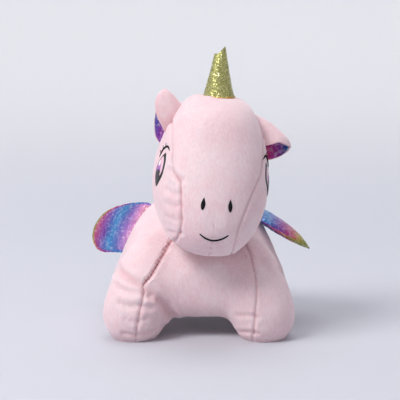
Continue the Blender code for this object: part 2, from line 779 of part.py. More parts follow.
def make_label(form):
    """A blank ribbon that hangs flat on the rump, sewn in at its upper edge."""
    start = Vector((LABEL_AT[0], 200.0, LABEL_AT[1])) * MM
    _, place, normal, _ = form.ray_cast(start, Vector((0.0, -1.0, 0.0)))
    size = Vector(LABEL_SIZE) / 2
    label = box("care_label", -size, size, PARTS)
    turn = normal.to_track_quat("Y", "Z").to_matrix().to_4x4()
    stand_off = (LABEL_SIZE[1] / 2 + LABEL_LIFT) * MM
    label.data.transform(Matrix.Translation(place + normal * stand_off) @ turn)
    finish(label, "ribbon", TORSO)


def make_closing_stitch(form):
    """A hand-sewn ladder of thread that closes the filling slit in the right chest seam."""
    tops = []
    first, last = Vector(CHEST_PANEL[5]) - Vector((2.0, 4.0)), Vector(CHEST_PANEL[3])
    count = int((last - first).length / STITCH_PITCH)
    along = (last - first).normalized()
    aside = Vector((-along.y, along.x))
    for k in range(count + 1):
        middle = first + along * k * STITCH_PITCH
        for sign in ((-1, 1) if k % 2 else (1, -1)):
            tops.append(middle + aside * sign * STITCH_REACH)
    points = []
    lift = (STITCH_THREAD / 2 + GAP) * MM
    for across, height in tops:
        start = Vector((across, -150.0, height)) * MM
        hit, place, normal, _ = form.ray_cast(start, Vector((0.0, 1.0, 0.0)))
        if hit:
            points.append(place + normal * lift * 1.6)
    line = bpy.data.curves.new("closing_stitch", "CURVE")
    line.dimensions = "3D"
    spline = line.splines.new("POLY")
    spline.points.add(len(points) - 1)
    for spot, point in zip(spline.points, points):
        spot.co = (*point, 1.0)
    line.bevel_depth = STITCH_THREAD / 2 * MM
    line.bevel_resolution = 1
    line.use_fill_caps = True
    obj = bpy.data.objects.new("closing_stitch", line)
    obj.data.materials.append(material("pink_thread"))
    obj.parent = TORSO
    PARTS.objects.link(obj)


def make_neck():
    cover = ball("neck_ball_form", (0, 0, 0), NECK_RADIUS)
    made = copy_of(cover, "neck_cover", PARTS)
    opening = rod("neck_opening", (0, 0, 0), 9.0, 3 * NECK_RADIUS)
    opening.data.transform(Matrix.Rotation(math.radians(45), 4, "X"))
    cut(made, drawn_in(cover, VELOUR, "neck_inside"), opening)
    finish(made, "velour", NECK_JOINT)
    fill = copy_of(drawn_in(cover, VELOUR + GAP, "neck_fill_form"), "neck_stuffing", PARTS)
    finish(fill, "fill", NECK_JOINT)


def turned(angles):
    return (Matrix.Rotation(math.radians(angles[2]), 3, "Z") @ Matrix.Rotation(math.radians(angles[1]), 3, "Y")
            @ Matrix.Rotation(math.radians(angles[0]), 3, "X"))


def axes_matrix(out, along):
    """A turn that takes X to out, and Y as near to along as it can."""
    x = Vector(out).normalized()
    z = x.cross(Vector(along)).normalized()
    y = z.cross(x)
    return Matrix((x, y, z)).transposed()


def leaf_turn(root_line, out):
    """A turn that takes Z to out and Y to the root line."""
    z, y = Vector(out).normalized(), Vector(root_line)
    x = y.cross(z).normalized()
    return Matrix((x, z.cross(x), z)).transposed()


def mirrored(vector):
    return Vector((-vector[0], vector[1], vector[2]))


def left_ear_turn():
    root_line = mirrored(EAR_ROOT_LINE)
    upright = leaf_turn(-root_line, mirrored(EAR_OUT))
    return Matrix.Rotation(math.radians(EAR_LEFT_FOLD), 3, root_line) @ upright


clear_scene()
PARTS = collection("plush_unicorn")
HELPERS = collection("cutters", hidden=True)
TORSO = empty_at("torso_frame", Vector((0, 0, 0)))
NECK_JOINT = empty_at("neck_joint", NECK)
HEAD = empty_at("head_joint", NECK, turned((0.0, HEAD_ROLL, HEAD_YAW)))
HORN = empty_at("horn_joint", HORN_SEAT)
HORN.rotation_euler.y = math.radians(HORN_LEAN)
EARS = {"right": empty_at("ear_right_joint", EAR_AT, leaf_turn(EAR_ROOT_LINE, EAR_OUT)),
        "left": empty_at("ear_left_joint", mirrored(EAR_AT), left_ear_turn())}
for child in (HORN, *EARS.values()):
    child.parent = HEAD
WINGS = {"right": empty_at("wing_right_joint", WING_RIGHT_AT,
                           axes_matrix((-0.5, 0.79, 0.29), (-0.5, 0.0, -0.86))),
         "left": empty_at("wing_left_joint", WING_LEFT_AT,
                          axes_matrix((0.84, -0.05, -0.52), (0.0, 1.0, 0.1)))}
TAIL = empty_at("tail_joint", TAIL_SEAT)


def main():
    neck_seat = ball("neck_seat", NECK, NECK_RADIUS + JOINT_GAP)
    tail_seat = ball("tail_seat", TAIL_SEAT, TAIL_BALL + JOINT_GAP)
    torso = make_torso(neck_seat)
    for name in ("side_panel_left", "side_panel_right", "torso_stuffing"):
        cut(bpy.data.objects[name], tail_seat)
    make_closing_stitch(torso)
    make_label(torso)
    make_neck()
    head = make_head(neck_seat)
    make_horn()
    for hand in ("right", "left"):
        make_ear(hand, EARS[hand])
        make_wing(hand, WINGS[hand])
    make_mane(head)
    make_tail()


main()
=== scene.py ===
import json
import math

import bmesh
import bpy
import numpy as np
from bpy.props import FloatProperty, FloatVectorProperty, IntProperty, PointerProperty
from mathutils import Matrix, Vector, noise
from mathutils.bvhtree import BVHTree


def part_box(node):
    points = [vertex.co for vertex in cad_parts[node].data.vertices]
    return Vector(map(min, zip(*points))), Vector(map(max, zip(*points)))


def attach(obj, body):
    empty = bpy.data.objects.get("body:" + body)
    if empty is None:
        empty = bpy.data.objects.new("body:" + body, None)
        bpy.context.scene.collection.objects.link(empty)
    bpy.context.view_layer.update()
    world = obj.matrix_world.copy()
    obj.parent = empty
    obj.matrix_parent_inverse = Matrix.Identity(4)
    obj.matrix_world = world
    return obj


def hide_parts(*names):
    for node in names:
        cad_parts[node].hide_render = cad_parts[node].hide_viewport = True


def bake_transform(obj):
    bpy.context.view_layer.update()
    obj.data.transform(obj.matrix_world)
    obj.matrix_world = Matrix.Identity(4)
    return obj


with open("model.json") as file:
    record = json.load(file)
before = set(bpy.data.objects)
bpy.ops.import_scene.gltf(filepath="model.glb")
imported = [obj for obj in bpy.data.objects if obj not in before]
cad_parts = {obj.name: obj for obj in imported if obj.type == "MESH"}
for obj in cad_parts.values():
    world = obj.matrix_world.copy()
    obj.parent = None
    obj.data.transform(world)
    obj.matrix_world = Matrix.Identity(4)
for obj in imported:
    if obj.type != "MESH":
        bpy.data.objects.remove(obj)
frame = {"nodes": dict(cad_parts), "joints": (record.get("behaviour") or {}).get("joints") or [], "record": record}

bl_info = {
    "name": "Plush unicorn",
    "version": (1, 0, 0),
    "blender": (4, 5, 0),
    "location": "View3D > Sidebar > Unicorn",
    "description": "Sews a stuffed plush unicorn with a glitter horn and foil wings round its packed frame",
    "category": "Add Mesh",
}

# The toy stands on z = 0 and faces -Y; its own left side is at +X. Lengths in this script are millimetres
# unless a name says otherwise, and MM turns them into metres.
MM = 0.001
JOINTS = {joint["name"]: joint for joint in frame["joints"]}
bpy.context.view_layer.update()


def joint_place(name):
    return Vector(JOINTS[name]["pos_m"]) / MM


def turn(angle, axis):
    return Matrix.Rotation(math.radians(angle), 3, axis)


NECK = joint_place("neck_turn")
TORSO_MIDDLE_X = -2.5
HEAD_TURN = turn(5.5, "Z") @ turn(6.0, "Y")

# Seams. Face panel: height about the neck centre, and half width on the toy's right and left
FACE_SEAM_RIGHT = ((-36.0, 34.0), (-25.0, 33.0), (-19.0, 31.0), (-11.5, 29.0), (1.5, 29.2), (9.7, 30.6),
                   (24.0, 32.0),
                   (33.0, 33.0), (37.0, 36.0), (41.6, 39.3), (50.0, 41.0), (80.0, 43.0), (112.0, 40.0))
FACE_SEAM_LEFT = ((-36.0, 22.0), (-22.6, 21.6), (-14.0, 21.8), (-3.4, 22.7), (5.5, 25.0), (16.5, 28.5),
                  (23.5, 31.1),
                  (33.6, 35.0), (46.4, 41.0), (57.0, 42.1), (80.0, 44.0), (112.0, 40.0))
FACE_SEAM_BACK = -4.0
# Chest panel: height, and x of its right and left edge
CHEST_HEIGHTS_RIGHT = (0.0, 9.0, 20.0, 31.0, 40.0, 49.0, 56.0, 61.0, 70.0, 92.0, 110.0)
CHEST_RIGHT = (-62.0, -61.0, -59.0, -57.0, -55.0, -52.5, -54.0, -48.0, -42.0, -28.5, -20.0)
CHEST_HEIGHTS_LEFT = (0.0, 6.0, 25.0, 38.0, 45.0, 61.0, 81.0, 97.0, 110.0)
CHEST_LEFT = (47.5, 47.8, 49.2, 50.5, 51.2, 50.6, 46.0, 36.0, 24.0)
CHEST_BACK = -34.0
BELLY_SEAM_X = 52.0
BELLY_SEAM_TOP = 62.0
SOLE_RADIUS = 20.0
FEET = [(TORSO_MIDDLE_X + side * 61.0, y) for y in (-50.0, 50.0) for side in (-1, 1)]

# Soft folds seen from the front: x and z along each, depth, width
TORSO_FOLDS = (
    (((-82, 66), (-73, 62), (-64, 58), (-57, 55), (-48, 49), (-40, 41), (-33, 33), (-28, 22)), 3.8, 3.6),
    (((-78, 52), (-68, 49), (-58, 48), (-47, 44)), 2.0, 2.6),
    (((-76, 38), (-66, 36), (-57, 37), (-47, 34)), 1.3, 2.4),
    (((-72, 10), (-62, 8), (-52, 10), (-44, 12)), 1.5, 2.2),
    (((-70, 24), (-61, 22), (-52, 24)), 0.9, 2.4),
    (((34, 25), (44, 27), (52, 26)), 1.2, 2.2),
    (((36, 8), (44, 10), (52, 9)), 1.2, 2.2),
    (((58, 74), (66, 66), (76, 62)), 1.6, 4.0),
)
CHEEK_FOLDS = (
    (((-42, 42), (-38, 38), (-32, 36)), 1.3, 2.3),
    (((-43, 24), (-38, 22), (-33, 24)), 0.7, 2.2),
    (((-42, 12), (-37, 11), (-31, 13)), 0.8, 2.2),
    (((-40, 0), (-34, -1), (-29, 1)), 0.6, 2.0),
    (((-37, -14), (-32, -13), (-28, -12)), 0.9, 1.8),
    (((44, 30), (40, 24), (35, 20)), 0.7, 2.6),
)
CLOSING_LINE = ((-29.5, 91.0), (-34.5, 83.5), (-38.8, 76.0), (-42.6, 69.5), (-47.0, 62.5), (-52.8, 56.6))

# Foil: place along the rainbow, and its colour
RAINBOW = (
    (0.00, (0.50, 0.28, 0.08)), (0.07, (0.62, 0.24, 0.28)), (0.15, (0.70, 0.28, 0.56)),
    (0.24, (0.36, 0.18, 0.55)),
    (0.33, (0.09, 0.14, 0.46)), (0.43, (0.05, 0.26, 0.56)), (0.52, (0.07, 0.13, 0.46)),
    (0.62, (0.22, 0.04, 0.34)),
    (0.73, (0.42, 0.035, 0.20)), (0.82, (0.50, 0.10, 0.10)), (0.90, (0.42, 0.30, 0.02)),
    (1.00, (0.20, 0.22, 0.01)),
)


# ---------------------------------------------------------------- handling objects

def alone(*objs):
    """Selects these objects only, and makes the last one active."""
    if bpy.context.object and bpy.context.object.mode != "OBJECT":
        bpy.ops.object.mode_set(mode="OBJECT")
    bpy.ops.object.select_all(action="DESELECT")
    for obj in objs:
        obj.select_set(True)
    bpy.context.view_layer.objects.active = objs[-1]


def primitive(name, kind, **settings):
    """A new primitive, by its operator's name, with its place written into its mesh."""
    bpy.ops.object.select_all(action="DESELECT")
    getattr(bpy.ops.mesh, f"primitive_{kind}_add")(**settings)
    made = bpy.context.object
    made.name = made.data.name = name
    bpy.ops.object.transform_apply(location=True, rotation=True, scale=True)
    return made


def modify(obj, kind, **settings):
    """Adds a modifier and applies it."""
    alone(obj)
    made = obj.modifiers.new(kind.lower(), kind)
    for key, value in settings.items():
        setattr(made, key, value)
    bpy.ops.object.modifier_apply(modifier=made.name)
    return obj


def points_of(obj):
    """Vertices in millimetres."""
    found = np.empty(len(obj.data.vertices) * 3, np.float32)
    obj.data.vertices.foreach_get("co", found)
    return found.reshape(-1, 3).astype(float) / MM


def set_points(obj, points):
    obj.data.vertices.foreach_set("co", (points * MM).astype(np.float32).ravel())
    obj.data.update()


def normals_of(obj):
    found = np.empty(len(obj.data.vertices) * 3, np.float32)
    obj.data.vertex_normals.foreach_get("vector", found)
    return found.reshape(-1, 3).astype(float)


def faces_middle(obj):
    found = np.empty(len(obj.data.polygons) * 3, np.float32)
    obj.data.polygons.foreach_get("center", found)
    return found.reshape(-1, 3).astype(float) / MM


def store(obj, name, values):
    """Writes one number per vertex as a named attribute."""
    layer = obj.data.attributes.get(name) or obj.data.attributes.new(name, "FLOAT", "POINT")
    layer.data.foreach_set("value", np.asarray(values, np.float32))


def read(obj, name):
    found = np.empty(len(obj.data.vertices), np.float32)
    obj.data.attributes[name].data.foreach_get("value", found)
    return found.astype(float)


def copy_of_nodes(name, nodes, grow=0.0):
    """Merged copies of CAD nodes as one object, each drawn outwards by a distance."""
    made = []
    for node in nodes:
        obj = bpy.data.objects.new(name, frame["nodes"][node].data.copy())
        bpy.context.scene.collection.objects.link(obj)
        alone(obj)
        bpy.ops.object.mode_set(mode="EDIT")
        bpy.ops.mesh.select_all(action="SELECT")
        bpy.ops.mesh.remove_doubles(threshold=0.00002)
        bpy.ops.object.mode_set(mode="OBJECT")
        if grow:
            modify(obj, "DISPLACE", strength=grow * MM, mid_level=0.0)
        made.append(obj)
    alone(*made)
    if len(made) > 1:
        bpy.ops.object.join()
    made = bpy.context.object
    made.name = made.data.name = name
    made.data.materials.clear()
    return made


def joined(*objs):
    alone(*objs)
    bpy.ops.object.join()
    return bpy.context.object


def keep_largest(obj):
    """Drops the loose shells that a remesh leaves inside."""
    build = bmesh.new()
    build.from_mesh(obj.data)
    left, shells = set(build.verts), []
    while left:
        shell, edge = set(), [left.pop()]
        while edge:
            vertex = edge.pop()
            shell.add(vertex)
            for link in vertex.link_edges:
                other = link.other_vert(vertex)
                if other in left:
                    left.discard(other)
                    edge.append(other)
        shells.append(shell)
    shells.sort(key=len)
    for shell in shells[:-1]:
        bmesh.ops.delete(build, geom=list(shell), context="VERTS")
    build.to_mesh(obj.data)
    build.free()
    return obj


def closed_form(name, shells, fillings, grow, cell, soften=6):
    """One closed skin over thin CAD shells and their filling, in even quads."""
    parts = [copy_of_nodes(name, shells)]
    if fillings:
        parts.append(copy_of_nodes(name + "_core", fillings, grow))
    form = joined(*parts[::-1]) if len(parts) > 1 else parts[0]
    form.name = name
    modify(form, "REMESH", mode="VOXEL", voxel_size=cell * MM)
    keep_largest(form)
    modify(form, "SMOOTH", factor=0.5, iterations=soften)
    return form


def speckle(points, size, seed=0.0):
    """Smooth noise, -1 to 1, with features of that size."""
    shift = Vector((seed, seed * 1.7, seed * 0.6))
    return np.array([noise.noise(Vector(p) / size + shift) for p in points])


def push(obj, amount, points=None):
    """Moves every vertex along its normal by its own amount."""
    points = points_of(obj) if points is None else points
    set_points(obj, points + normals_of(obj) * np.asarray(amount).reshape(-1, 1))


def swell(obj, held, pressure, cap, start_in=1.6, frames=20):
    """Fills a closed skin: cloth under pressure, held where the mask says, no point moving beyond the cap."""
    push(obj, -start_in * (1.0 - held))
    start = points_of(obj)
    group = obj.vertex_groups.new(name="held")
    group.add([int(k) for k in np.nonzero(held > 0.5)[0]], 1.0, "REPLACE")
    cloth = obj.modifiers.new("filling", "CLOTH")
    settings = cloth.settings
    settings.quality = 4
    settings.mass = 0.25
    settings.tension_stiffness = settings.compression_stiffness = 12
    settings.bending_stiffness = 0.6
    settings.use_pressure = True
    settings.uniform_pressure_force = pressure
    settings.vertex_group_mass = "held"
    settings.effector_weights.gravity = 0.0
    cloth.point_cache.frame_start, cloth.point_cache.frame_end = 1, frames
    for step in range(1, frames + 1):
        bpy.context.scene.frame_set(step)
    alone(obj)
    bpy.ops.object.modifier_apply(modifier=cloth.name)
    bpy.context.scene.frame_set(1)
    obj.vertex_groups.clear()
    moved = points_of(obj) - start
    length = np.linalg.norm(moved, axis=1)
    set_points(obj, start + moved * np.minimum(1.0, cap / np.maximum(length, 1e-6))[:, None])
    modify(obj, "SMOOTH", factor=0.5, iterations=3)
    return obj


def settle(obj, form, out):
    """Moves a skin in or out as one, so that it stands a set distance off the form that it was made from."""
    points = points_of(obj)
    off = []
    for point in points[::7]:
        place, normal, _, _ = form.find_nearest(Vector(point) * MM)
        off.append((Vector(point) - place / MM).dot(normal))
    push(obj, np.full(len(points), out - float(np.median(off))))
    return obj


def skin_tree(obj):
    return BVHTree.FromObject(obj, bpy.context.evaluated_depsgraph_get())


def subdivide(obj, levels):
    return modify(obj, "SUBSURF", levels=levels, render_levels=levels, boundary_smooth="PRESERVE_CORNERS")


def smooth_shaded(obj, angle=40):
    alone(obj)
    bpy.ops.object.shade_smooth_by_angle(angle=math.radians(angle))
    return obj


def finished(obj, material, slot, body, *nodes, angle=40, fill=None, sewn=None):
    """Gives a piece its finish and, unless sewn is given, its body, and lets it stand for its CAD nodes.
    When sewn is given, the piece's place is only written into its mesh; the body and the points in sewn are not
    used."""
    obj.data.materials.clear()
    obj.data.materials.append(material)
    smooth_shaded(obj, angle)
    if sewn:
        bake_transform(obj)
    else:
        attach(obj, body)
    if nodes:
        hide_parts(*nodes)
    return obj


# ---------------------------------------------------------------- seams

def slope_of(rule, points, normals, step=0.4):
    """A rule's value at each point, and its slope along the surface there."""
    value = rule(points)
    slope = np.stack([(rule(points + shift) - value) / step for shift in np.eye(3) * step], axis=1)
    slope -= normals * (slope * normals).sum(1)[:, None]
    return value, slope


def seam_distance(rule, points, normals):
    """Distance along the surface to where a rule is zero, keeping its sign."""
    value, slope = slope_of(rule, points, normals)
    return value / np.maximum(np.linalg.norm(slope, axis=1), 0.25)


def snap_to(rule, points, normals, reach, where=None):
    """Slides the points next to a seam onto it, along the surface."""
    value, slope = slope_of(rule, points, normals)
    size = np.linalg.norm(slope, axis=1)
    near = (np.abs(value) < reach * size) & (size > 0.25)
    if where is not None:
        near &= where
    step = -value[:, None] * slope / np.maximum(size, 1e-6)[:, None] ** 2
    points[near] += step[near]
    return points


def line_distance(points, line):
    """Distance in the plane from points to a line of points."""
    best = np.full(len(points), 1e9)
    line = np.asarray(line, float)
    for a, b in zip(line, line[1:]):
        along = b - a
        t = np.clip(((points - a) @ along) / (along @ along), 0.0, 1.0)
        best = np.minimum(best, np.linalg.norm(points - a - t[:, None] * along, axis=1))
    return best


def fold_depth(flat, lines, facing):
    """How deep the soft folds go at each point, seen flat from the front."""
    depth = np.zeros(len(flat))
    for line, deep, wide in lines:
        away = line_distance(flat, line)
        depth += deep * np.exp(-(away / wide) ** 2) - 0.3 * deep * np.exp(-((away - 2.2 * wide) / wide) ** 2)
    return depth * facing


def separate(skin, name, mask):
    """The faces of a skin that a mask keeps, as a new cloth panel with a thickness."""
    panel = bpy.data.objects.new(name, skin.data.copy())
    bpy.context.scene.collection.objects.link(panel)
    alone(panel)
    bpy.context.tool_settings.mesh_select_mode = (False, False, True)
    bpy.ops.object.mode_set(mode="EDIT")
    bpy.ops.mesh.select_all(action="DESELECT")
    bpy.ops.object.mode_set(mode="OBJECT")
    panel.data.polygons.foreach_set("select", ~np.asarray(mask, bool))
    bpy.ops.object.mode_set(mode="EDIT")
    bpy.ops.mesh.delete(type="FACE")
    bpy.ops.object.mode_set(mode="OBJECT")
    bpy.context.tool_settings.mesh_select_mode = (True, False, False)
    keep_largest(panel)
    return modify(panel, "SOLIDIFY", thickness=1.2 * MM, offset=-1.0, use_even_offset=False)


def face_rule(points):
    """Below zero inside the face panel, in the head's own axes about the neck centre."""
    x, y, z = points.T
    half = np.where(x < 0, np.interp(z, *zip(*FACE_SEAM_RIGHT)), np.interp(z, *zip(*FACE_SEAM_LEFT)))
    return np.maximum(np.abs(x) - half, y - FACE_SEAM_BACK)


def chest_rule(points):
    x, y, z = points.T
    right = np.interp(z, CHEST_HEIGHTS_RIGHT, CHEST_RIGHT)
    left = np.interp(z, CHEST_HEIGHTS_LEFT, CHEST_LEFT)
    return np.maximum(np.maximum(right - x, x - left), y - CHEST_BACK)


def belly_rule(points):
    x, y, z = points.T
    return np.maximum(np.maximum(np.abs(x - TORSO_MIDDLE_X) - BELLY_SEAM_X, z - BELLY_SEAM_TOP),
                      CHEST_BACK - 6.0 - y)


def under_rule(points):
    return np.minimum(chest_rule(points), belly_rule(points))


def middle_rule(points):
    return points[:, 0] - TORSO_MIDDLE_X


def head_middle_rule(points):
    return points[:, 0]


def sole_rule(points):
    best = np.full(len(points), 1e9)
    for x, y in FEET:
        best = np.minimum(best, np.hypot(points[:, 0] - x, points[:, 1] - y) - SOLE_RADIUS)
    return np.where(points[:, 2] < 6.0, best, 50.0)


def into_head(points):
    return (points - np.array(NECK)) @ np.array(HEAD_TURN)


def out_of_head(points):
    return points @ np.array(HEAD_TURN).T + np.array(NECK)


# ---------------------------------------------------------------- materials

def add(tree, kind, inputs=None, **settings):
    """A node with its settings, whose inputs are given numbers or linked from other nodes' outputs."""
    node = tree.nodes.new(kind)
    for key, value in settings.items():
        setattr(node, key, value)
    for socket, value in (inputs or {}).items():
        if isinstance(value, bpy.types.NodeSocket):
            tree.links.new(value, node.inputs[socket])
        else:
            node.inputs[socket].default_value = value
    return node


def reckon(tree, operation, a, b=0.0, c=None):
    inputs = {0: a, 1: b}
    if c is not None:
        inputs[2] = c
    return add(tree, "ShaderNodeMath", inputs, operation=operation).outputs[0]


def blended(tree, share, a, b, mode="MIX"):
    """Colour a going to colour b by a share."""
    node = add(tree, "ShaderNodeMix", data_type="RGBA", blend_type=mode)
    for socket, value in ((0, share), (6, a), (7, b)):
        if isinstance(value, bpy.types.NodeSocket):
            tree.links.new(value, node.inputs[socket])
        else:
            node.inputs[socket].default_value = value
    return node.outputs[2]


def ramp(tree, value, stops):
    node = add(tree, "ShaderNodeValToRGB", {0: value})
    band = node.color_ramp
    while len(band.elements) > 2:
        band.elements.remove(band.elements[-1])
    band.elements[0].position, band.elements[1].position = stops[0][0], stops[-1][0]
    band.elements[0].color, band.elements[-1].color = (*stops[0][1], 1.0), (*stops[-1][1], 1.0)
    for place, colour in stops[1:-1]:
        band.elements.new(place).color = (*colour, 1.0)
    return node.outputs["Color"]


def node_group(name, inputs, outputs):
    """An empty shader group with number inputs, and outputs of the given kinds."""
    tree = bpy.data.node_groups.new(name, "ShaderNodeTree")
    for label, default in inputs:
        socket = tree.interface.new_socket(name=label, in_out="INPUT", socket_type="NodeSocketFloat")
        socket.default_value = default
    for label, kind in outputs:
        tree.interface.new_socket(name=label, in_out="OUTPUT", socket_type=kind)
    return tree, tree.nodes.new("NodeGroupInput").outputs, tree.nodes.new("NodeGroupOutput").inputs


def nap_group():
    """Short pile: brushed patches and fine tufts, as a shade and a height."""
    tree, given, out = node_group("pile", (("Patch size", 22.0), ("Tuft size", 900.0)),
                                  (("Shade", "NodeSocketFloat"), ("Height", "NodeSocketFloat")))
    place = add(tree, "ShaderNodeTexCoord").outputs["Object"]
    patch = add(tree, "ShaderNodeTexNoise", {"Vector": place, "Scale": given[0], "Detail": 5.0,
                                             "Roughness": 0.62,
                                             "Distortion": 0.6}).outputs[0]
    brushed = add(tree, "ShaderNodeMapping", {0: place, 3: (1.0, 1.0, 0.35)}).outputs[0]
    tufts = add(tree, "ShaderNodeTexNoise", {"Vector": brushed, "Scale": given[1], "Detail": 3.0,
                                             "Roughness": 0.7}).outputs[0]
    lumps = add(tree, "ShaderNodeTexNoise", {"Vector": place,
                                             "Scale": reckon(tree, "MULTIPLY", given[1], 0.28),
                                             "Detail": 2.0}).outputs[0]
    height = reckon(tree, "ADD", reckon(tree, "MULTIPLY", tufts, 0.6), reckon(tree, "MULTIPLY", lumps, 0.4))
    tree.links.new(reckon(tree, "ADD", reckon(tree, "MULTIPLY", patch, 0.5),
                          reckon(tree, "MULTIPLY", tufts, 0.5)),
                   out[0])
    tree.links.new(height, out[1])
    return tree


def crinkle_group():
    """Creased foil: sharp-edged facets at two sizes, as a height and a mask of the crests."""
    tree, given, out = node_group("crinkle", (("Size", 120.0), ("Warp", 0.35)),
                                  (("Height", "NodeSocketFloat"), ("Crests", "NodeSocketFloat")))
    place = add(tree, "ShaderNodeTexCoord").outputs["Object"]
    warp = add(tree, "ShaderNodeTexNoise", {"Vector": place, "Scale": given[0], "Detail": 2.0}).outputs[1]
    bent = add(tree, "ShaderNodeVectorMath", {0: warp, 3: 0.006}, operation="SCALE").outputs[0]
    moved = add(tree, "ShaderNodeVectorMath", {0: place, 1: bent}, operation="ADD").outputs[0]
    large = add(tree, "ShaderNodeTexVoronoi", {"Vector": moved, "Scale": given[0]},
                feature="DISTANCE_TO_EDGE").outputs[0]
    small = add(tree, "ShaderNodeTexVoronoi",
                {"Vector": moved, "Scale": reckon(tree, "MULTIPLY", given[0], 2.7)},
                feature="F1").outputs[0]
    height = reckon(tree, "ADD", reckon(tree, "MULTIPLY", large, 1.4), reckon(tree, "MULTIPLY", small, 0.5))
    tree.links.new(height, out[0])
    tree.links.new(reckon(tree, "SUBTRACT", 1.0, reckon(tree, "MULTIPLY", large, 6.0)), out[1])
    return tree


def flake_group():
    """Glitter: one random shade and one random tilt for each flake."""
    tree, given, out = node_group("flakes", (("Size", 900.0), ("Tilt", 0.8)),
                                  (("Shade", "NodeSocketFloat"), ("Tilted", "NodeSocketVector"),
                                   ("Gaps", "NodeSocketFloat")))
    place = add(tree, "ShaderNodeTexCoord").outputs["Object"]
    cells = add(tree, "ShaderNodeTexVoronoi", {"Vector": place, "Scale": given[0]}, feature="F1")
    edge = add(tree, "ShaderNodeTexVoronoi", {"Vector": place, "Scale": given[0]},
               feature="DISTANCE_TO_EDGE").outputs[0]
    centred = add(tree, "ShaderNodeVectorMath", {0: cells.outputs["Color"], 1: (0.5, 0.5, 0.5)},
                  operation="SUBTRACT").outputs[0]
    leaned = add(tree, "ShaderNodeVectorMath", {0: centred, 3: given[1]}, operation="SCALE").outputs[0]
    facing = add(tree, "ShaderNodeNewGeometry").outputs["Normal"]
    tilted = add(tree, "ShaderNodeVectorMath", {0: facing, 1: leaned}, operation="ADD").outputs[0]
    unit = add(tree, "ShaderNodeVectorMath", {0: tilted}, operation="NORMALIZE").outputs[0]
    shade = add(tree, "ShaderNodeSeparateColor", {0: cells.outputs["Color"]}).outputs[1]
    tree.links.new(shade, out[0])
    tree.links.new(unit, out[1])
    tree.links.new(reckon(tree, "LESS_THAN", edge, 0.06), out[2])
    return tree


def thread_group():
    """Satin stitches side by side, as a height and a sheen mask."""
    tree, given, out = node_group("satin", (("Pitch", 2600.0),),
                                  (("Height", "NodeSocketFloat"), ("Shade", "NodeSocketFloat")))
    place = add(tree, "ShaderNodeTexCoord").outputs["Object"]
    turned = add(tree, "ShaderNodeMapping", {0: place, 2: (0.4, 0.2, 0.6)}).outputs[0]
    rows = add(tree, "ShaderNodeTexWave", {"Vector": turned, "Scale": given[0], "Distortion": 0.6,
                                           "Detail": 1.0},
               bands_direction="Z")
    grain = add(tree, "ShaderNodeTexNoise", {"Vector": place, "Scale": 700.0, "Detail": 2.0}).outputs[0]
    tree.links.new(rows.outputs[1], out[0])
    tree.links.new(grain, out[1])
    return tree


def placed(tree, group, **inputs):
    node = add(tree, "ShaderNodeGroup", node_tree=group)
    for label, value in inputs.items():
        node.inputs[label.replace("_", " ")].default_value = value
    return node.outputs


def shader(name, **constants):
    """A new material, its tree and its Principled shader with constants set on its own sockets."""
    made = bpy.data.materials.new(name)
    made.use_nodes = True
    principled = made.node_tree.nodes["Principled BSDF"]
    for label, value in constants.items():
        principled.inputs[label.replace("_", " ")].default_value = value
    return made, made.node_tree, principled


def bump(tree, principled, height, strength, distance, normal=None):
    inputs = {"Height": height, "Strength": strength, "Distance": distance * MM}
    if normal is not None:
        inputs["Normal"] = normal
    tree.links.new(add(tree, "ShaderNodeBump", inputs).outputs[0], principled.inputs["Normal"])


def darker(colour, share):
    return tuple(c * share for c in colour[:3]) + (1.0,)


def plush_material(name, colour, deep, tuft=520.0):
    """Velour whose pile shows lighter and darker patches, and painted shade, warmer and darker, down in the seams
    and folds that the seam attribute marks.
    """
    made, tree, principled = shader(name, Roughness=0.88, Specular_IOR_Level=0.25, Sheen_Weight=0.4,
                                    Sheen_Roughness=0.45, Sheen_Tint=(1.0, 0.90, 0.93, 1.0),
                                    Subsurface_Weight=0.3, Subsurface_Radius=(1.0, 0.35, 0.38),
                                    Subsurface_Scale=0.006)
    pile = placed(tree, GROUPS["pile"], Patch_size=24.0, Tuft_size=tuft)
    # The seam attribute is painted shade: how much darker and warmer the grooves of seams and folds are painted.
    seam = add(tree, "ShaderNodeAttribute", attribute_name="seam").outputs["Fac"]
    light, dark = (*colour[:3], 1.0), (colour[0] * 0.90, colour[1] * 0.78, colour[2] * 0.81, 1.0)
    spread = add(tree, "ShaderNodeMapRange", {0: pile[0], 1: 0.36, 2: 0.64}).outputs[0]
    shade = blended(tree, spread, dark, light)
    # Painted shade: the deep colour is mixed in where the seam attribute is high.
    with_seam_shade = blended(tree, reckon(tree, "MULTIPLY", seam, 0.85), shade, (*deep[:3], 1.0))
    tree.links.new(with_seam_shade, principled.inputs["Base Color"])
    rough = add(tree, "ShaderNodeMapRange", {0: pile[0], 3: 0.8, 4: 0.96}).outputs[0]
    tree.links.new(rough, principled.inputs["Roughness"])
    bump(tree, principled, pile[1], 0.6, 0.8)
    return made


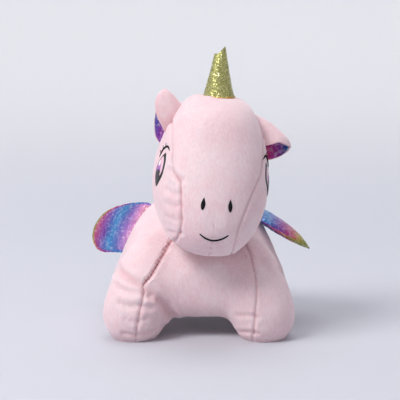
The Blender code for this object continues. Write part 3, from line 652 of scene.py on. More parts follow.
def foil_material(name, stops, facet=110.0):
    """Rainbow foil print on cloth: bands from an attribute, creases, painted glints on random flakes and painted
    highlights on the crests.
    """
    made, tree, principled = shader(name, Roughness=0.34, Specular_IOR_Level=0.6)
    crinkle = placed(tree, GROUPS["crinkle"], Size=facet)
    band = add(tree, "ShaderNodeAttribute", attribute_name="band").outputs["Fac"]
    place = add(tree, "ShaderNodeTexCoord").outputs["Object"]
    drift = add(tree, "ShaderNodeTexNoise", {"Vector": place, "Scale": 45.0, "Detail": 3.0,
                                             "Roughness": 0.6}).outputs[0]
    moved = reckon(tree, "ADD", band, reckon(tree, "MULTIPLY", reckon(tree, "SUBTRACT", drift, 0.5), 0.12))
    colour = ramp(tree, moved, stops)
    flake = add(tree, "ShaderNodeTexVoronoi", {"Vector": place, "Scale": 420.0}).outputs["Color"]
    sparkle = add(tree, "ShaderNodeSeparateColor", {0: flake}).outputs[0]
    # Painted glints: random flakes are painted near white.
    painted_glints = reckon(tree, "MULTIPLY", reckon(tree, "GREATER_THAN", sparkle, 0.86), 0.2)
    lit = blended(tree, painted_glints, colour, (0.95, 0.85, 0.95, 1.0))
    # Painted highlight: the crests of the creases are painted lighter.
    crest_highlight = add(tree, "ShaderNodeMapRange", {0: crinkle[1], 1: 0.6, 2: 1.0, 3: 0.0, 4: 0.16}).outputs[0]
    tree.links.new(blended(tree, crest_highlight, lit, (1.0, 0.93, 1.0, 1.0)), principled.inputs["Base Color"])
    metal = add(tree, "ShaderNodeMapRange", {0: drift, 1: 0.3, 2: 0.7, 3: 0.45, 4: 0.75}).outputs[0]
    tree.links.new(metal, principled.inputs["Metallic"])
    rough = add(tree, "ShaderNodeMapRange", {0: sparkle, 3: 0.22, 4: 0.46}).outputs[0]
    tree.links.new(rough, principled.inputs["Roughness"])
    bump(tree, principled, crinkle[0], 0.6, 0.7)
    return made


def glitter_material(name, dark, light):
    made, tree, principled = shader(name, Roughness=0.3, Metallic=0.6, Specular_IOR_Level=0.6)
    flakes = placed(tree, GROUPS["flakes"], Size=1300.0, Tilt=0.6)
    tone = ramp(tree, flakes[0], ((0.0, dark), (0.45, tuple((d + l) / 2 for d, l in zip(dark, light))),
                                  (0.82, light), (1.0, (1.0, 0.95, 0.6))))
    based = blended(tree, flakes[2], tone, (*[c * 0.4 for c in dark], 1.0))
    tree.links.new(based, principled.inputs["Base Color"])
    rough = add(tree, "ShaderNodeMapRange", {0: flakes[0], 3: 0.5, 4: 0.18}).outputs[0]
    tree.links.new(rough, principled.inputs["Roughness"])
    tree.links.new(flakes[1], principled.inputs["Normal"])
    return made


def thread_material(name, colour, pitch=2600.0, rough=0.45):
    made, tree, principled = shader(name, Roughness=rough, Specular_IOR_Level=0.15)
    satin = placed(tree, GROUPS["satin"], Pitch=pitch)
    shade = blended(tree, satin[1], darker(colour, 0.75),
                    (*[min(1.0, c * 1.15 + 0.002) for c in colour[:3]], 1.0))
    tree.links.new(shade, principled.inputs["Base Color"])
    grain = add(tree, "ShaderNodeMapRange", {0: satin[1], 3: rough - 0.12, 4: rough + 0.12}).outputs[0]
    tree.links.new(grain, principled.inputs["Roughness"])
    bump(tree, principled, satin[0], 0.4, 0.12)
    return made


def eye_material(name):
    """Embroidered eye, read from its UV map: dark rim and lower pupil, pink to lavender iris, one light spot."""
    made, tree, principled = shader(name, Roughness=0.4, Specular_IOR_Level=0.5)
    satin = placed(tree, GROUPS["satin"], Pitch=2400.0)
    flat = add(tree, "ShaderNodeUVMap", uv_map="eye").outputs[0]
    split = add(tree, "ShaderNodeSeparateXYZ", {0: flat}).outputs
    across = reckon(tree, "SUBTRACT", reckon(tree, "MULTIPLY", split[0], 2.0), 1.0)
    up = reckon(tree, "SUBTRACT", reckon(tree, "MULTIPLY", split[1], 2.0), 1.0)
    rim = add(tree, "ShaderNodeAttribute", attribute_name="rim").outputs["Fac"]
    iris = ramp(tree, split[1], ((0.35, (0.10, 0.02, 0.16)), (0.55, (0.42, 0.16, 0.50)),
                                 (0.75, (0.85, 0.38, 0.52)),
                                 (0.95, (0.95, 0.62, 0.72))))
    low = reckon(tree, "ADD", reckon(tree, "MULTIPLY",
                                     reckon(tree, "POWER", reckon(tree, "ABSOLUTE", across), 2.0),
                                     0.55), up)
    pupil = reckon(tree, "LESS_THAN", low, 0.0)
    disc = reckon(tree, "ADD",
                  reckon(tree, "POWER", reckon(tree, "DIVIDE", reckon(tree, "SUBTRACT", across, 0.22), 0.62),
                         2.0),
                  reckon(tree, "POWER", reckon(tree, "DIVIDE", reckon(tree, "ADD", up, 0.1), 0.8), 2.0))
    spot = reckon(tree, "ADD", reckon(tree, "POWER", reckon(tree, "DIVIDE",
                                                            reckon(tree, "SUBTRACT", across, 0.1), 0.2), 2.0),
                  reckon(tree, "POWER", reckon(tree, "DIVIDE", reckon(tree, "SUBTRACT", up, 0.38), 0.17),
                         2.0))
    black = (0.006, 0.005, 0.008, 1.0)
    coloured = blended(tree, pupil, iris, black)
    inner = blended(tree, reckon(tree, "LESS_THAN", disc, 1.0), (0.88, 0.60, 0.70, 1.0), coloured)
    heavier = reckon(tree, "MULTIPLY", reckon(tree, "MAXIMUM", reckon(tree, "MULTIPLY", up, -1.0), 0.0), 0.45)
    edged = blended(tree, reckon(tree, "GREATER_THAN", reckon(tree, "ADD", rim, heavier), 0.79), inner, black)
    shone = blended(tree, reckon(tree, "LESS_THAN", spot, 1.0), edged, (0.92, 0.9, 0.93, 1.0))
    grained = blended(tree, 0.25, shone, satin[1], mode="MULTIPLY")
    tree.links.new(grained, principled.inputs["Base Color"])
    grain = add(tree, "ShaderNodeMapRange", {0: satin[1], 3: 0.3, 4: 0.5}).outputs[0]
    tree.links.new(grain, principled.inputs["Roughness"])
    bump(tree, principled, satin[0], 0.4, 0.12)
    return made


def fill_material(name):
    """Loose polyester fibre."""
    made, tree, principled = shader(name, Roughness=0.95, Sheen_Weight=0.4)
    place = add(tree, "ShaderNodeTexCoord").outputs["Object"]
    strands = add(tree, "ShaderNodeTexNoise",
                  {"Vector": place, "Scale": 260.0, "Detail": 6.0, "Roughness": 0.75,
                                               "Distortion": 2.4}).outputs[0]
    tree.links.new(ramp(tree, strands, ((0.3, (0.62, 0.62, 0.6)), (0.6, (0.9, 0.9, 0.88)))),
                   principled.inputs["Base Color"])
    bump(tree, principled, strands, 0.8, 1.2)
    return made


def ribbon_material(name):
    """White woven satin ribbon."""
    made, tree, principled = shader(name, Roughness=0.4, Sheen_Weight=0.2)
    place = add(tree, "ShaderNodeTexCoord").outputs["Object"]
    weft = add(tree, "ShaderNodeTexWave", {"Vector": place, "Scale": 900.0}, bands_direction="Z").outputs[1]
    warp = add(tree, "ShaderNodeTexWave", {"Vector": place, "Scale": 900.0}, bands_direction="X").outputs[1]
    weave = reckon(tree, "MULTIPLY", weft, warp)
    tree.links.new(ramp(tree, weave, ((0.0, (0.74, 0.74, 0.76)), (1.0, (0.93, 0.93, 0.94)))),
                   principled.inputs["Base Color"])
    bump(tree, principled, weave, 0.3, 0.1)
    return made


def floor_material(name, colour):
    """Smooth matt sweep with the faintest mottling."""
    made, tree, principled = shader(name, Roughness=0.6, Specular_IOR_Level=0.2)
    place = add(tree, "ShaderNodeTexCoord").outputs["Object"]
    cloud = add(tree, "ShaderNodeTexNoise", {"Vector": place, "Scale": 1.4, "Detail": 2.0}).outputs[0]
    away = add(tree, "ShaderNodeVectorMath", {0: place}, operation="LENGTH").outputs["Value"]
    far = add(tree, "ShaderNodeMapRange", {0: away, 1: 0.5, 2: 3.0},
              interpolation_type="SMOOTHSTEP").outputs[0]
    near = blended(tree, cloud, darker(colour, 0.97), (*colour[:3], 1.0))
    tree.links.new(blended(tree, far, near, (0.93, 0.93, 0.95, 1.0)), principled.inputs["Base Color"])
    return made


GROUPS = {}
FINISHES = {}
SURFACES = {}


def make_finishes(colours):
    GROUPS.update(pile=nap_group(), crinkle=crinkle_group(), flakes=flake_group(), satin=thread_group())
    FINISHES.update(
        velour=plush_material("pink_velour", colours.velour, colours.seam),
        foil=foil_material("rainbow_foil", RAINBOW),
        glitter=glitter_material("gold_glitter", (0.22, 0.22, 0.05), (0.72, 0.70, 0.26)),
        hem=glitter_material("gold_hem", (0.40, 0.20, 0.02), (0.95, 0.62, 0.2)),
        thread=thread_material("black_thread", colours.thread, rough=0.7),
        pink_thread=thread_material("pink_sewing_thread", colours.seam, 1800.0, 0.6),
        eye=eye_material("eye_embroidery"),
        fill=fill_material("fibre_filling"),
        ribbon=ribbon_material("white_ribbon"),
        floor=floor_material("studio_floor", colours.floor),
    )
    by_slot = {"velour": "velour", "foil": "foil", "glitter": "glitter", "thread": "thread",
               "pink_thread": "pink_thread", "ribbon": "ribbon", "fill": "fill"}
    slots = {}
    for entry in frame["record"].get("materials", []):
        for node in entry.get("nodes", []):
            slots[node] = entry.get("slot")
    for name, node in frame["nodes"].items():
        kind = by_slot.get(slots.get(name), "velour")
        for k in range(len(node.material_slots)):
            node.material_slots[k].material = FINISHES[kind]
            node.material_slots[k].link = "OBJECT"
            node.material_slots[k].material = FINISHES[kind]


# ---------------------------------------------------------------- settings

class PlushSizes(bpy.types.PropertyGroup):
    head_cell: FloatProperty(name="Head weave cell",
                             description="Size of the head skin's first cells, in millimetres",
                             default=4.2, min=3.0, max=8.0)
    torso_cell: FloatProperty(name="Torso weave cell",
                              description="Size of the torso skin's first cells, in millimetres",
                              default=4.8, min=3.0, max=8.0)
    seam_depth: FloatProperty(name="Seam depth",
                              description="How deep a seam draws the plush in, in millimetres",
                              default=2.0, min=0.0, max=4.0)
    seam_width: FloatProperty(name="Seam width", description="Half width of a seam's groove, in millimetres",
                              default=2.0, min=0.5, max=6.0)
    pucker: FloatProperty(name="Pucker",
                          description="Height of the small wrinkles beside the seams, in millimetres",
                          default=0.55, min=0.0, max=2.0)
    pressure: FloatProperty(name="Filling pressure", description="How hard the filling presses on the cloth",
                            default=4.0, min=0.5, max=10.0)
    fine_levels: IntProperty(name="Fine levels",
                             description="Subdivisions of a skin before its seams are drawn in",
                             default=2, min=1, max=2)


class PlushColours(bpy.types.PropertyGroup):
    velour: FloatVectorProperty(name="Plush", description="Colour of the plush velour", subtype="COLOR",
                                size=4,
                                default=(0.84, 0.635, 0.66, 1.0), min=0.0, max=1.0)
    # Seam colour: the painted shade down in the seams and folds of the velour, and also the pink sewing thread's
    # own colour.
    seam: FloatVectorProperty(name="Seam", description="Colour down in the seams and of their thread",
                              subtype="COLOR", size=4, default=(0.58, 0.24, 0.26, 1.0), min=0.0, max=1.0)
    thread: FloatVectorProperty(name="Black thread", description="Colour of nostrils, mouth and lashes",
                                subtype="COLOR", size=4, default=(0.005, 0.004, 0.006, 1.0), min=0.0, max=1.0)
    floor: FloatVectorProperty(name="Floor", description="Colour of the studio floor", subtype="COLOR",
                               size=4,
                               default=(0.57, 0.585, 0.64, 1.0), min=0.0, max=1.0)


# ---------------------------------------------------------------- operators

class PLUSH_OT_torso(bpy.types.Operator):
    """Sews the torso with its legs: side panels, underbody panel and soles"""
    bl_idname = "plush.torso"
    bl_label = "Torso and legs"

    def execute(self, context):
        sizes = context.scene.plush_sizes
        shells = ["side_panel_left", "side_panel_right", "underbody_panel", "sole_front_left",
                  "sole_front_right",
                  "sole_rear_left", "sole_rear_right"]
        wads = ["torso_stuffing", "leg_stuffing_front_left", "leg_stuffing_front_right",
                "leg_stuffing_rear_left",
                "leg_stuffing_rear_right"]
        skin = closed_form("torso_skin", shells, wads, 4.6, sizes.torso_cell, 8)
        points, normals = points_of(skin), normals_of(skin)
        seams = np.minimum(np.abs(seam_distance(under_rule, points, normals)),
                           np.where(under_rule(points) > 0, np.abs(middle_rule(points)), 99.0))
        near_neck = np.linalg.norm(points - np.array(NECK), axis=1) < 37.0
        held = ((seams < 2.6) | (points[:, 2] < 5.0) | near_neck).astype(float)
        form = skin_tree(skin)
        swell(skin, held, sizes.pressure, 3.4)
        settle(skin, form, 1.0)
        subdivide(skin, sizes.fine_levels)
        points, normals = points_of(skin), normals_of(skin)
        under = seam_distance(under_rule, points, normals)
        outside = under > 0
        seam = np.minimum(np.abs(under), np.where(outside, np.abs(middle_rule(points)), 99.0))
        depth = sizes.seam_depth * np.exp(-(seam / sizes.seam_width) ** 2)
        along = np.stack([points[:, 0] * 0.25, points[:, 1] * 0.6, points[:, 2]], axis=1)
        depth += sizes.pucker * np.exp(-(seam / 7.0)) * speckle(along, 3.4)
        front = np.clip((-20.0 - points[:, 1]) / 20.0, 0.0, 1.0)
        flat = points[:, (0, 2)]
        folds = fold_depth(flat, TORSO_FOLDS, front)
        closing = line_distance(flat, CLOSING_LINE)
        ladder = np.exp(-(closing / 7.0) ** 2) * front
        step = (points[:, 2] - points[:, 0]) / 3.4
        depth += folds + ladder * (1.4 * np.exp(-(closing / 2.4) ** 2) + 0.55 * np.sin(2 * math.pi * step))
        depth += 0.5 * speckle(points, 26.0, 3.0) + 0.22 * speckle(points, 9.0, 5.0)
        feet = np.clip((points[:, 2] - 1.0) / 8.0, 0.0, 1.0)
        push(skin, -depth * feet)
        points = points_of(skin)
        points[:, 2] = np.where(points[:, 2] < 1.6, 0.0, points[:, 2])
        normals = normals_of(skin)
        snap_to(under_rule, points, normals, 0.75)
        snap_to(middle_rule, points, normals, 0.75, outside)
        set_points(skin, points)
        # Painted shade: the seam grooves, the soft folds and the closing line are painted darker and warmer
        # through the seam attribute.
        shade = 0.6 * np.exp(-(seam / 0.8) ** 2) + 0.28 * np.clip(folds / 3.0, 0,
                                                                  1) + 0.35 * np.exp(-(closing
                                                                                       / 1.5) ** 2) * front
        store(skin, "seam", np.clip(shade, 0.0, 1.0))
        SURFACES["torso"] = skin_tree(skin)
        middle = faces_middle(skin)
        sole = (sole_rule(middle) < 0) & (middle[:, 2] < 3.0)
        beneath = (under_rule(middle) < 0) & ~sole
        velour = FINISHES["velour"]
        finished(separate(skin, "underbody_cloth", beneath), velour, "velour", "torso", "underbody_panel",
                 fill=0.85)
        for hand, side in (("right", -1), ("left", 1)):
            half = ~beneath & ~sole & (side * (middle[:, 0] - TORSO_MIDDLE_X) > 0)
            finished(separate(skin, f"side_cloth_{hand}", half), velour, "velour", "torso",
                     f"side_panel_{hand}",
                     fill=0.85)
            for foot, front_sign in (("front", -1), ("rear", 1)):
                own = sole & (side * (middle[:, 0] - TORSO_MIDDLE_X) > 0) & (front_sign * middle[:, 1] > 0)
                finished(separate(skin, f"sole_cloth_{foot}_{hand}", own), velour, "velour", "torso",
                         f"sole_{foot}_{hand}", fill=0.7)
        bpy.data.objects.remove(skin)
        return {"FINISHED"}


class PLUSH_OT_head(bpy.types.Operator):
    """Sews the head's face panel and side panels"""
    bl_idname = "plush.head"
    bl_label = "Head"

    def execute(self, context):
        sizes = context.scene.plush_sizes
        skin = closed_form("head_skin", ["face_panel", "head_side_left", "head_side_right"],
                           ["head_stuffing"], 1.6,
                           sizes.head_cell, 6)
        points, normals = into_head(points_of(skin)), normals_of(skin) @ np.array(HEAD_TURN)
        face = seam_distance(face_rule, points, normals)
        seams = np.minimum(np.abs(face), np.where(face > 0, np.abs(points[:, 0]), 99.0))
        near_neck = np.linalg.norm(points, axis=1) < 37.0
        horn = into_head(np.array([joint_place("horn_bend")]))[0]
        near_horn = np.linalg.norm(points - horn, axis=1) < 19.0
        held = ((seams < 2.4) | near_neck | near_horn).astype(float)
        form = skin_tree(skin)
        swell(skin, held, sizes.pressure, 3.0)
        settle(skin, form, 1.6)
        subdivide(skin, sizes.fine_levels)
        points, normals = into_head(points_of(skin)), normals_of(skin) @ np.array(HEAD_TURN)
        face = seam_distance(face_rule, points, normals)
        outside = face > 0
        seam = np.minimum(np.abs(face), np.where(outside & (points[:, 1] > -20.0), np.abs(points[:, 0]),
                                                 99.0))
        depth = 0.85 * sizes.seam_depth * np.exp(-(seam / sizes.seam_width) ** 2)
        along = np.stack([points[:, 0] * 0.2, points[:, 1] * 0.5, points[:, 2]], axis=1)
        lower = np.clip((40.0 - points[:, 2]) / 30.0, 0.15, 1.0)
        depth += 0.55 * sizes.pucker * lower * np.exp(-(seam / 4.5)) * speckle(along, 3.6, 2.0)
        front = np.clip((-10.0 - points[:, 1]) / 15.0, 0.0, 1.0)
        folds = fold_depth(points[:, (0, 2)], CHEEK_FOLDS, front)
        depth += folds + 0.4 * speckle(points, 24.0, 7.0) + 0.15 * speckle(points, 9.0, 8.0)
        push(skin, -depth)
        points = into_head(points_of(skin))
        normals = normals_of(skin) @ np.array(HEAD_TURN)
        snap_to(face_rule, points, normals, 0.7)
        snap_to(head_middle_rule, points, normals, 0.7, outside)
        set_points(skin, out_of_head(points))
        local = into_head(points_of(skin))
        # Painted shade: the seam grooves and cheek folds are painted darker through the seam attribute, strongest
        # low on the toy's right side.
        seam_shade_strength = np.where(local[:, 0] < 0, np.interp(local[:, 2], (34.0, 42.0), (0.8, 0.28)), 0.5)
        store(skin, "seam", np.clip(seam_shade_strength * np.exp(-(seam / 0.8) ** 2) + 0.2 * np.clip(folds / 2.0, 0, 1),
                                    0.0, 1.0))
        SURFACES["head"] = skin_tree(skin)
        middle = into_head(faces_middle(skin))
        inside = face_rule(middle) < 0
        velour = FINISHES["velour"]
        finished(separate(skin, "face_cloth", inside), velour, "velour", "head", "face_panel", fill=0.95)
        for hand, side in (("right", -1), ("left", 1)):
            finished(separate(skin, f"head_side_cloth_{hand}", ~inside & (side * middle[:, 0] > 0)), velour,
                     "velour",
                     "head", f"head_side_{hand}", fill=0.95)
        bpy.data.objects.remove(skin)
        return {"FINISHED"}


def on_surface(tree, start, direction):
    """Where a ray meets a skin, and the normal there, in millimetres."""
    hit, normal, _, _ = tree.ray_cast(Vector(start) * MM, Vector(direction))
    if hit is None:
        raise RuntimeError(f"no cloth under the point {tuple(start)}")
    return hit / MM, normal


def head_ray(local, direction):
    """From outside the head towards it, in the head's own axes."""
    start = NECK + HEAD_TURN @ Vector(local)
    return on_surface(SURFACES["head"], start, HEAD_TURN @ Vector(direction))


def embroidered(name, outline, spot_of, lift, thick, rings=7, uv=None):
    """A patch of satin stitches: rings of a flat outline laid on the skin, crowned and closed underneath."""
    count = len(outline)
    middle = np.mean(outline, axis=0)
    patch = primitive(name, "circle", vertices=count, radius=1.0, fill_type="TRIFAN")
    bpy.ops.object.mode_set(mode="EDIT")
    bpy.ops.mesh.select_all(action="SELECT")
    bpy.ops.mesh.subdivide(number_cuts=rings - 1)
    bpy.ops.object.mode_set(mode="OBJECT")
    flat = np.array([v.co[:2] for v in patch.data.vertices])
    reach = np.linalg.norm(flat, axis=1)
    angles = np.mod(np.arctan2(flat[:, 0], flat[:, 1]), 2 * math.pi)
    ring = np.asarray(outline, float) - middle
    own = np.linspace(0, 2 * math.pi, count, endpoint=False)
    edge = np.stack([np.interp(angles, np.append(own, 2 * math.pi), np.append(ring[:, k], ring[0, k]))
                     for k in (0, 1)],
                    axis=1)
    corner = math.cos(math.pi / count)
    share = np.clip(reach / corner, 0.0, 1.0)
    spots = middle + edge * share[:, None]
    points = []
    for spot, r in zip(spots, share):
        place, normal = spot_of(spot)
        points.append(place + normal * (lift + thick * math.sqrt(max(0.0, 1 - r ** 4))))
    set_points(patch, np.array(points))
    if uv:
        low, high = np.min(outline, axis=0), np.max(outline, axis=0)
        layer = patch.data.uv_layers.get(uv) or patch.data.uv_layers.new(name=uv)
        scaled = (spots - low) / (high - low)
        for loop in patch.data.loops:
            layer.data[loop.index].uv = scaled[loop.vertex_index]
        store(patch, "rim", share)
    build = bmesh.new()
    build.from_mesh(patch.data)
    bmesh.ops.recalc_face_normals(build, faces=build.faces)
    build.to_mesh(patch.data)
    build.free()
    out = spot_of(middle)[1]
    normals = normals_of(patch)
    if (normals @ np.array(out)).mean() < 0:
        patch.data.flip_normals()
    return modify(patch, "SOLIDIFY", thickness=0.5 * MM, offset=-1.0)


def tube(name, points, radius, sides=8, taper=None):
    """A round thread along points in millimetres, as a mesh with closed ends."""
    line = bpy.data.curves.new(name, "CURVE")
    line.dimensions = "3D"
    spline = line.splines.new("NURBS")
    spline.points.add(len(points) - 1)
    for k, (spot, point) in enumerate(zip(spline.points, points)):
        spot.co = (*(Vector(point) * MM), 1.0)
        if taper:
            spot.radius = taper(k / (len(points) - 1))
    spline.use_endpoint_u = True
    spline.order_u = 3
    spline.resolution_u = 4
    line.bevel_depth = radius * MM
    line.bevel_resolution = max(1, sides // 4)
    line.use_fill_caps = True
    made = bpy.data.objects.new(name, line)
    bpy.context.scene.collection.objects.link(made)
    alone(made)
    bpy.ops.object.convert(target="MESH")
    made = bpy.context.object
    bpy.ops.object.mode_set(mode="EDIT")
    bpy.ops.mesh.select_all(action="SELECT")
    bpy.ops.mesh.remove_doubles(threshold=0.000001)
    bpy.ops.mesh.normals_make_consistent(inside=False)
    bpy.ops.object.mode_set(mode="OBJECT")
    return made


def drop_outline(centre, width, height, lean, count=40):
    """A drop with its point upwards, leaning inwards at the top."""
    points = []
    for k in range(count):
        angle = 2 * math.pi * k / count
        up = math.cos(angle)
        taper = 1.0 if up < 0 else (1 - up) ** 0.55
        points.append((centre[0] + width / 2 * math.sin(angle) * taper + lean * up,
                       centre[1] + height / 2 * up))
    return points


def almond_outline(centre, width, height, count=56):
    """A tall almond, a little pointed above."""
    points = []
    for k in range(count):
        angle = 2 * math.pi * k / count
        up, along = math.cos(angle), math.sin(angle)
        taper = (1 - 0.5 * max(0.0, up) ** 2) * (1 - 0.2 * max(0.0, -up) ** 2)
        points.append((centre[0] + width / 2 * along * taper - EYE_LEAN * up, centre[1] + height / 2 * up))
    return points


EYE_MIDDLE = (-40.0, 40.0)
EYE_SIZE = (17.0, 32.0)
EYE_LEAN = 2.6
LASHES = ((3.0, 21.5, 5.0, 24.5), (6.5, 18.5, 10.0, 21.5), (9.5, 14.5, 14.0, 16.5))


class PLUSH_OT_face(bpy.types.Operator):
    """Embroiders eyes, lashes, nostrils and mouth on the head"""
    bl_idname = "plush.face"
    bl_label = "Face"

    def execute(self, context):
        black = FINISHES["thread"]

        def from_front(spot):
            return head_ray((spot[0], -200.0, spot[1]), (0, 1, 0))

        for hand, side in (("right", -1), ("left", 1)):
            outline = drop_outline((side * 12.2 + 0.2, 18.0), 4.0, 11.4, -side * 0.4)
            nostril = embroidered(f"nostril_satin_{hand}", outline, from_front, 0.1, 0.75)
            finished(nostril, black, "thread", "head", f"nostril_{hand}", angle=50)

            def from_side(spot, side=side):
                return head_ray((side * 200.0, spot[0], spot[1]), (-side, 0, 0))

            eye = embroidered(f"eye_satin_{hand}", almond_outline(EYE_MIDDLE, *EYE_SIZE), from_side, 0.1,
                              0.7, 9, "eye")
            finished(eye, FINISHES["eye"], "thread", "head", f"eye_{hand}", angle=50)
            arc = []
            for k in range(13):
                angle = math.radians(-34 + 100 * k / 12)
                arc.append((EYE_MIDDLE[0] - 2.0 + 11.0 * math.sin(angle),
                            EYE_MIDDLE[1] + 22.0 * math.cos(angle) ** 0.8))
            strands = [(arc, 1.0)]
            strands += [([(EYE_MIDDLE[0] + a, EYE_MIDDLE[1] + b),
                          (EYE_MIDDLE[0] + (a + c) / 2, EYE_MIDDLE[1] + (b + d) / 2 + 0.8),
                          (EYE_MIDDLE[0] + c, EYE_MIDDLE[1] + d)], 0.5) for a, b, c, d in LASHES]
            threads = []
            for k, (line, radius) in enumerate(strands):
                spots = []
                for spot in line:
                    place, normal = from_side(spot)
                    spots.append(place + normal * 0.25)
                threads.append(tube(f"lash_{k}", spots, radius,
                                    taper=lambda t: 1 - 0.75 * abs(2 * t - 1) ** 3))
            lashes = joined(*threads)
            lashes.name = lashes.data.name = f"lashes_{hand}"
            finished(lashes, black, "thread", "head")

        smile = []
        for k in range(17):
            across = (k / 8 - 1) * 12.9
            place, normal = from_front((across + 0.6,
                                        -14.4 + 5.4 * (across / 12.9) ** 2 + 0.4 * across / 12.9))
            smile.append(place + normal * 0.2)
        mouth = tube("mouth_thread", smile, 0.85, taper=lambda t: 1 - 0.4 * abs(2 * t - 1) ** 4)
        finished(mouth, black, "thread", "head", "mouth_stitch")
        return {"FINISHED"}


class PLUSH_OT_closing(bpy.types.Operator):
    """Sews the filling slit in the chest seam by hand"""
    bl_idname = "plush.closing"
    bl_label = "Closing stitches"

    def execute(self, context):
        line = np.array(CLOSING_LINE)
        steps = np.append(0, np.cumsum(np.linalg.norm(np.diff(line, axis=0), axis=1)))
        threads, pitch = [], 3.3
        for k in range(int(steps[-1] / pitch) + 1):
            at = k * pitch + 0.6
            middle = np.array([np.interp(at, steps, line[:, 0]), np.interp(at, steps, line[:, 1])])
            ahead = np.array([np.interp(at + 1, steps, line[:, 0]),
                              np.interp(at + 1, steps, line[:, 1])]) - middle
            aside = np.array([-ahead[1], ahead[0]]) / max(np.linalg.norm(ahead), 1e-6)
            reach = 2.1 + 0.5 * math.sin(k * 2.3)
            spots = []
            for share, lift in ((-1.0, -0.3), (-0.55, 0.25), (0.0, 0.55), (0.55, 0.25), (1.0, -0.3)):
                flat = middle + aside * reach * share + ahead * 0.5 * share
                place, normal = on_surface(SURFACES["torso"], (flat[0], -200.0, flat[1]), (0, 1, 0))
                spots.append(place + normal * lift)
            threads.append(tube(f"rung_{k}", spots, 0.32, 6))
        stitches = joined(*threads)
        stitches.name = stitches.data.name = "closing_ladder"
        finished(stitches, FINISHES["pink_thread"], "pink_thread", "torso", "closing_stitch")
        return {"FINISHED"}


class PLUSH_OT_neck(bpy.types.Operator):
    """Makes the stuffed ball of the neck"""
    bl_idname = "plush.neck"
    bl_label = "Neck"

    def execute(self, context):
        low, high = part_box("neck_cover")
        ball = primitive("neck_cloth", "uv_sphere", segments=96, ring_count=64, radius=(high.x - low.x) / 2,
                         location=(low + high) / 2)
        points = points_of(ball)
        away = points - np.array(NECK)
        swing = np.arctan2(away[:, 1], away[:, 0])
        height = away[:, 2] / 31.0
        push(ball, -0.35 - 0.35 * (0.5 + 0.5 * np.cos(16 * swing + 2 * speckle(points, 20.0)))
             * (1 - height ** 2))
        # Painted shade along the ball's middle ring, through the seam attribute.
        store(ball, "seam", np.exp(-(np.abs(away[:, 2]) / 1.0) ** 2) * 0.6)
        finished(ball, FINISHES["velour"], "velour", "neck", "neck_cover", fill=0.9)
        return {"FINISHED"}


# The horn: its lean on the head, its hem and tip, and how far its hem stands above its root
HORN_LEAN = -4.5
HORN_RADIUS, HORN_TIP_RADIUS = 15.2, 4.9
HORN_HEIGHT, HORN_LIFT = 44.0, 0.4


class PLUSH_OT_horn(bpy.types.Operator):
    """Rolls the glitter horn and sews its hem"""
    bl_idname = "plush.horn"
    bl_label = "Horn"

    def execute(self, context):
        frame_turn = HEAD_TURN @ turn(HORN_LEAN, "Y")
        seat = joint_place("horn_bend")
        count, rows, height, lift = 96, 40, HORN_HEIGHT, HORN_LIFT
        cone = primitive("horn_foil", "circle", vertices=count, radius=HORN_RADIUS * MM, fill_type="NOTHING")
        bpy.ops.object.mode_set(mode="EDIT")
        bpy.ops.mesh.select_all(action="SELECT")
        for row in range(rows):
            before, after = (HORN_RADIUS + (HORN_TIP_RADIUS - HORN_RADIUS) * (t / rows) ** 0.92
                             for t in (row, row + 1))
            bpy.ops.mesh.extrude_region_move(TRANSFORM_OT_translate={"value": (0, 0, height / rows * MM)})
            bpy.ops.transform.resize(value=(after / before, after / before, 1.0), center_override=(0, 0, 0))
        bpy.ops.mesh.select_all(action="SELECT")
        bpy.ops.mesh.normals_make_consistent(inside=False)
        bpy.ops.object.mode_set(mode="OBJECT")
        points = points_of(cone)
        t = points[:, 2] / height
        swing = np.arctan2(points[:, 1], points[:, 0])
        radius = np.hypot(points[:, 0], points[:, 1])
        overlap = 0.9 * np.exp(-((np.mod(swing + 2.3 + 1.1 * t, 2 * math.pi) - math.pi) / 0.12) ** 2)
        radius += (overlap * (1 - 0.6 * t) + 0.25 * speckle(points, 7.0) * (1 - t * 0.5)
                   + 0.55 * np.sin(3 * swing + 4 * t) * t ** 2)
        rise = 3.4 * t ** 4 * np.cos(swing + 0.35) + 1.3 * t ** 8 * np.cos(2 * swing + 0.9) - 0.6
        points = np.stack([radius * np.cos(swing), radius * np.sin(swing), points[:, 2] + rise * t + lift],
                          axis=1)
        set_points(cone, np.array(seat) + points @ np.array(frame_turn).T)
        modify(cone, "SOLIDIFY", thickness=0.9 * MM, offset=-1.0)
        finished(cone, FINISHES["glitter"], "glitter", "horn", "horn_cover", angle=60)

        hem = primitive("horn_hem", "torus", major_segments=96, minor_segments=14, major_radius=15.0 * MM,
                        minor_radius=0.85 * MM)
        points = points_of(hem)
        swing = np.arctan2(points[:, 1], points[:, 0])
        points[:, 2] = points[:, 2] * 1.9 + lift + 0.6 + 0.35 * np.sin(5 * swing) + 0.25 * np.sin(11 * swing)
        set_points(hem, np.array(seat) + points @ np.array(frame_turn).T)
        finished(hem, FINISHES["hem"], "glitter", "horn")
        return {"FINISHED"}


# Each ear: the lines of its front edge, its crest and its rear edge, from the head to the tip
EARS = {
    "right": (((-31, -50, 192), (-36.5, -53, 203), (-40.5, -53, 211), (-42.5, -51, 220), (-41, -47.5, 228)),
              ((-14, -38, 208), (-19, -40, 217), (-24, -41.5, 223.5), (-28.5, -42.5, 229), (-32, -43, 232)),
              ((-34, -28, 179), (-42, -27, 188), (-44, -29, 198), (-43.5, -33, 210), (-40, -38.5, 223)),
              (-34.5, -43.0, 234.0)),
    "left": (((50, -49, 185), (58.5, -51, 184), (66, -51, 184.8), (72, -49.5, 185.8), (78, -45, 183)),
             ((47, -36, 209), (58, -36, 204.5), (67, -36, 198.5), (75, -36.5, 191.5), (80.5, -37.5, 186)),
             ((50, -24, 165), (60, -24, 167), (68, -25, 168.5), (75, -28, 171), (80, -32.5, 175)),
             (83.0, -38.0, 180.0)),
}


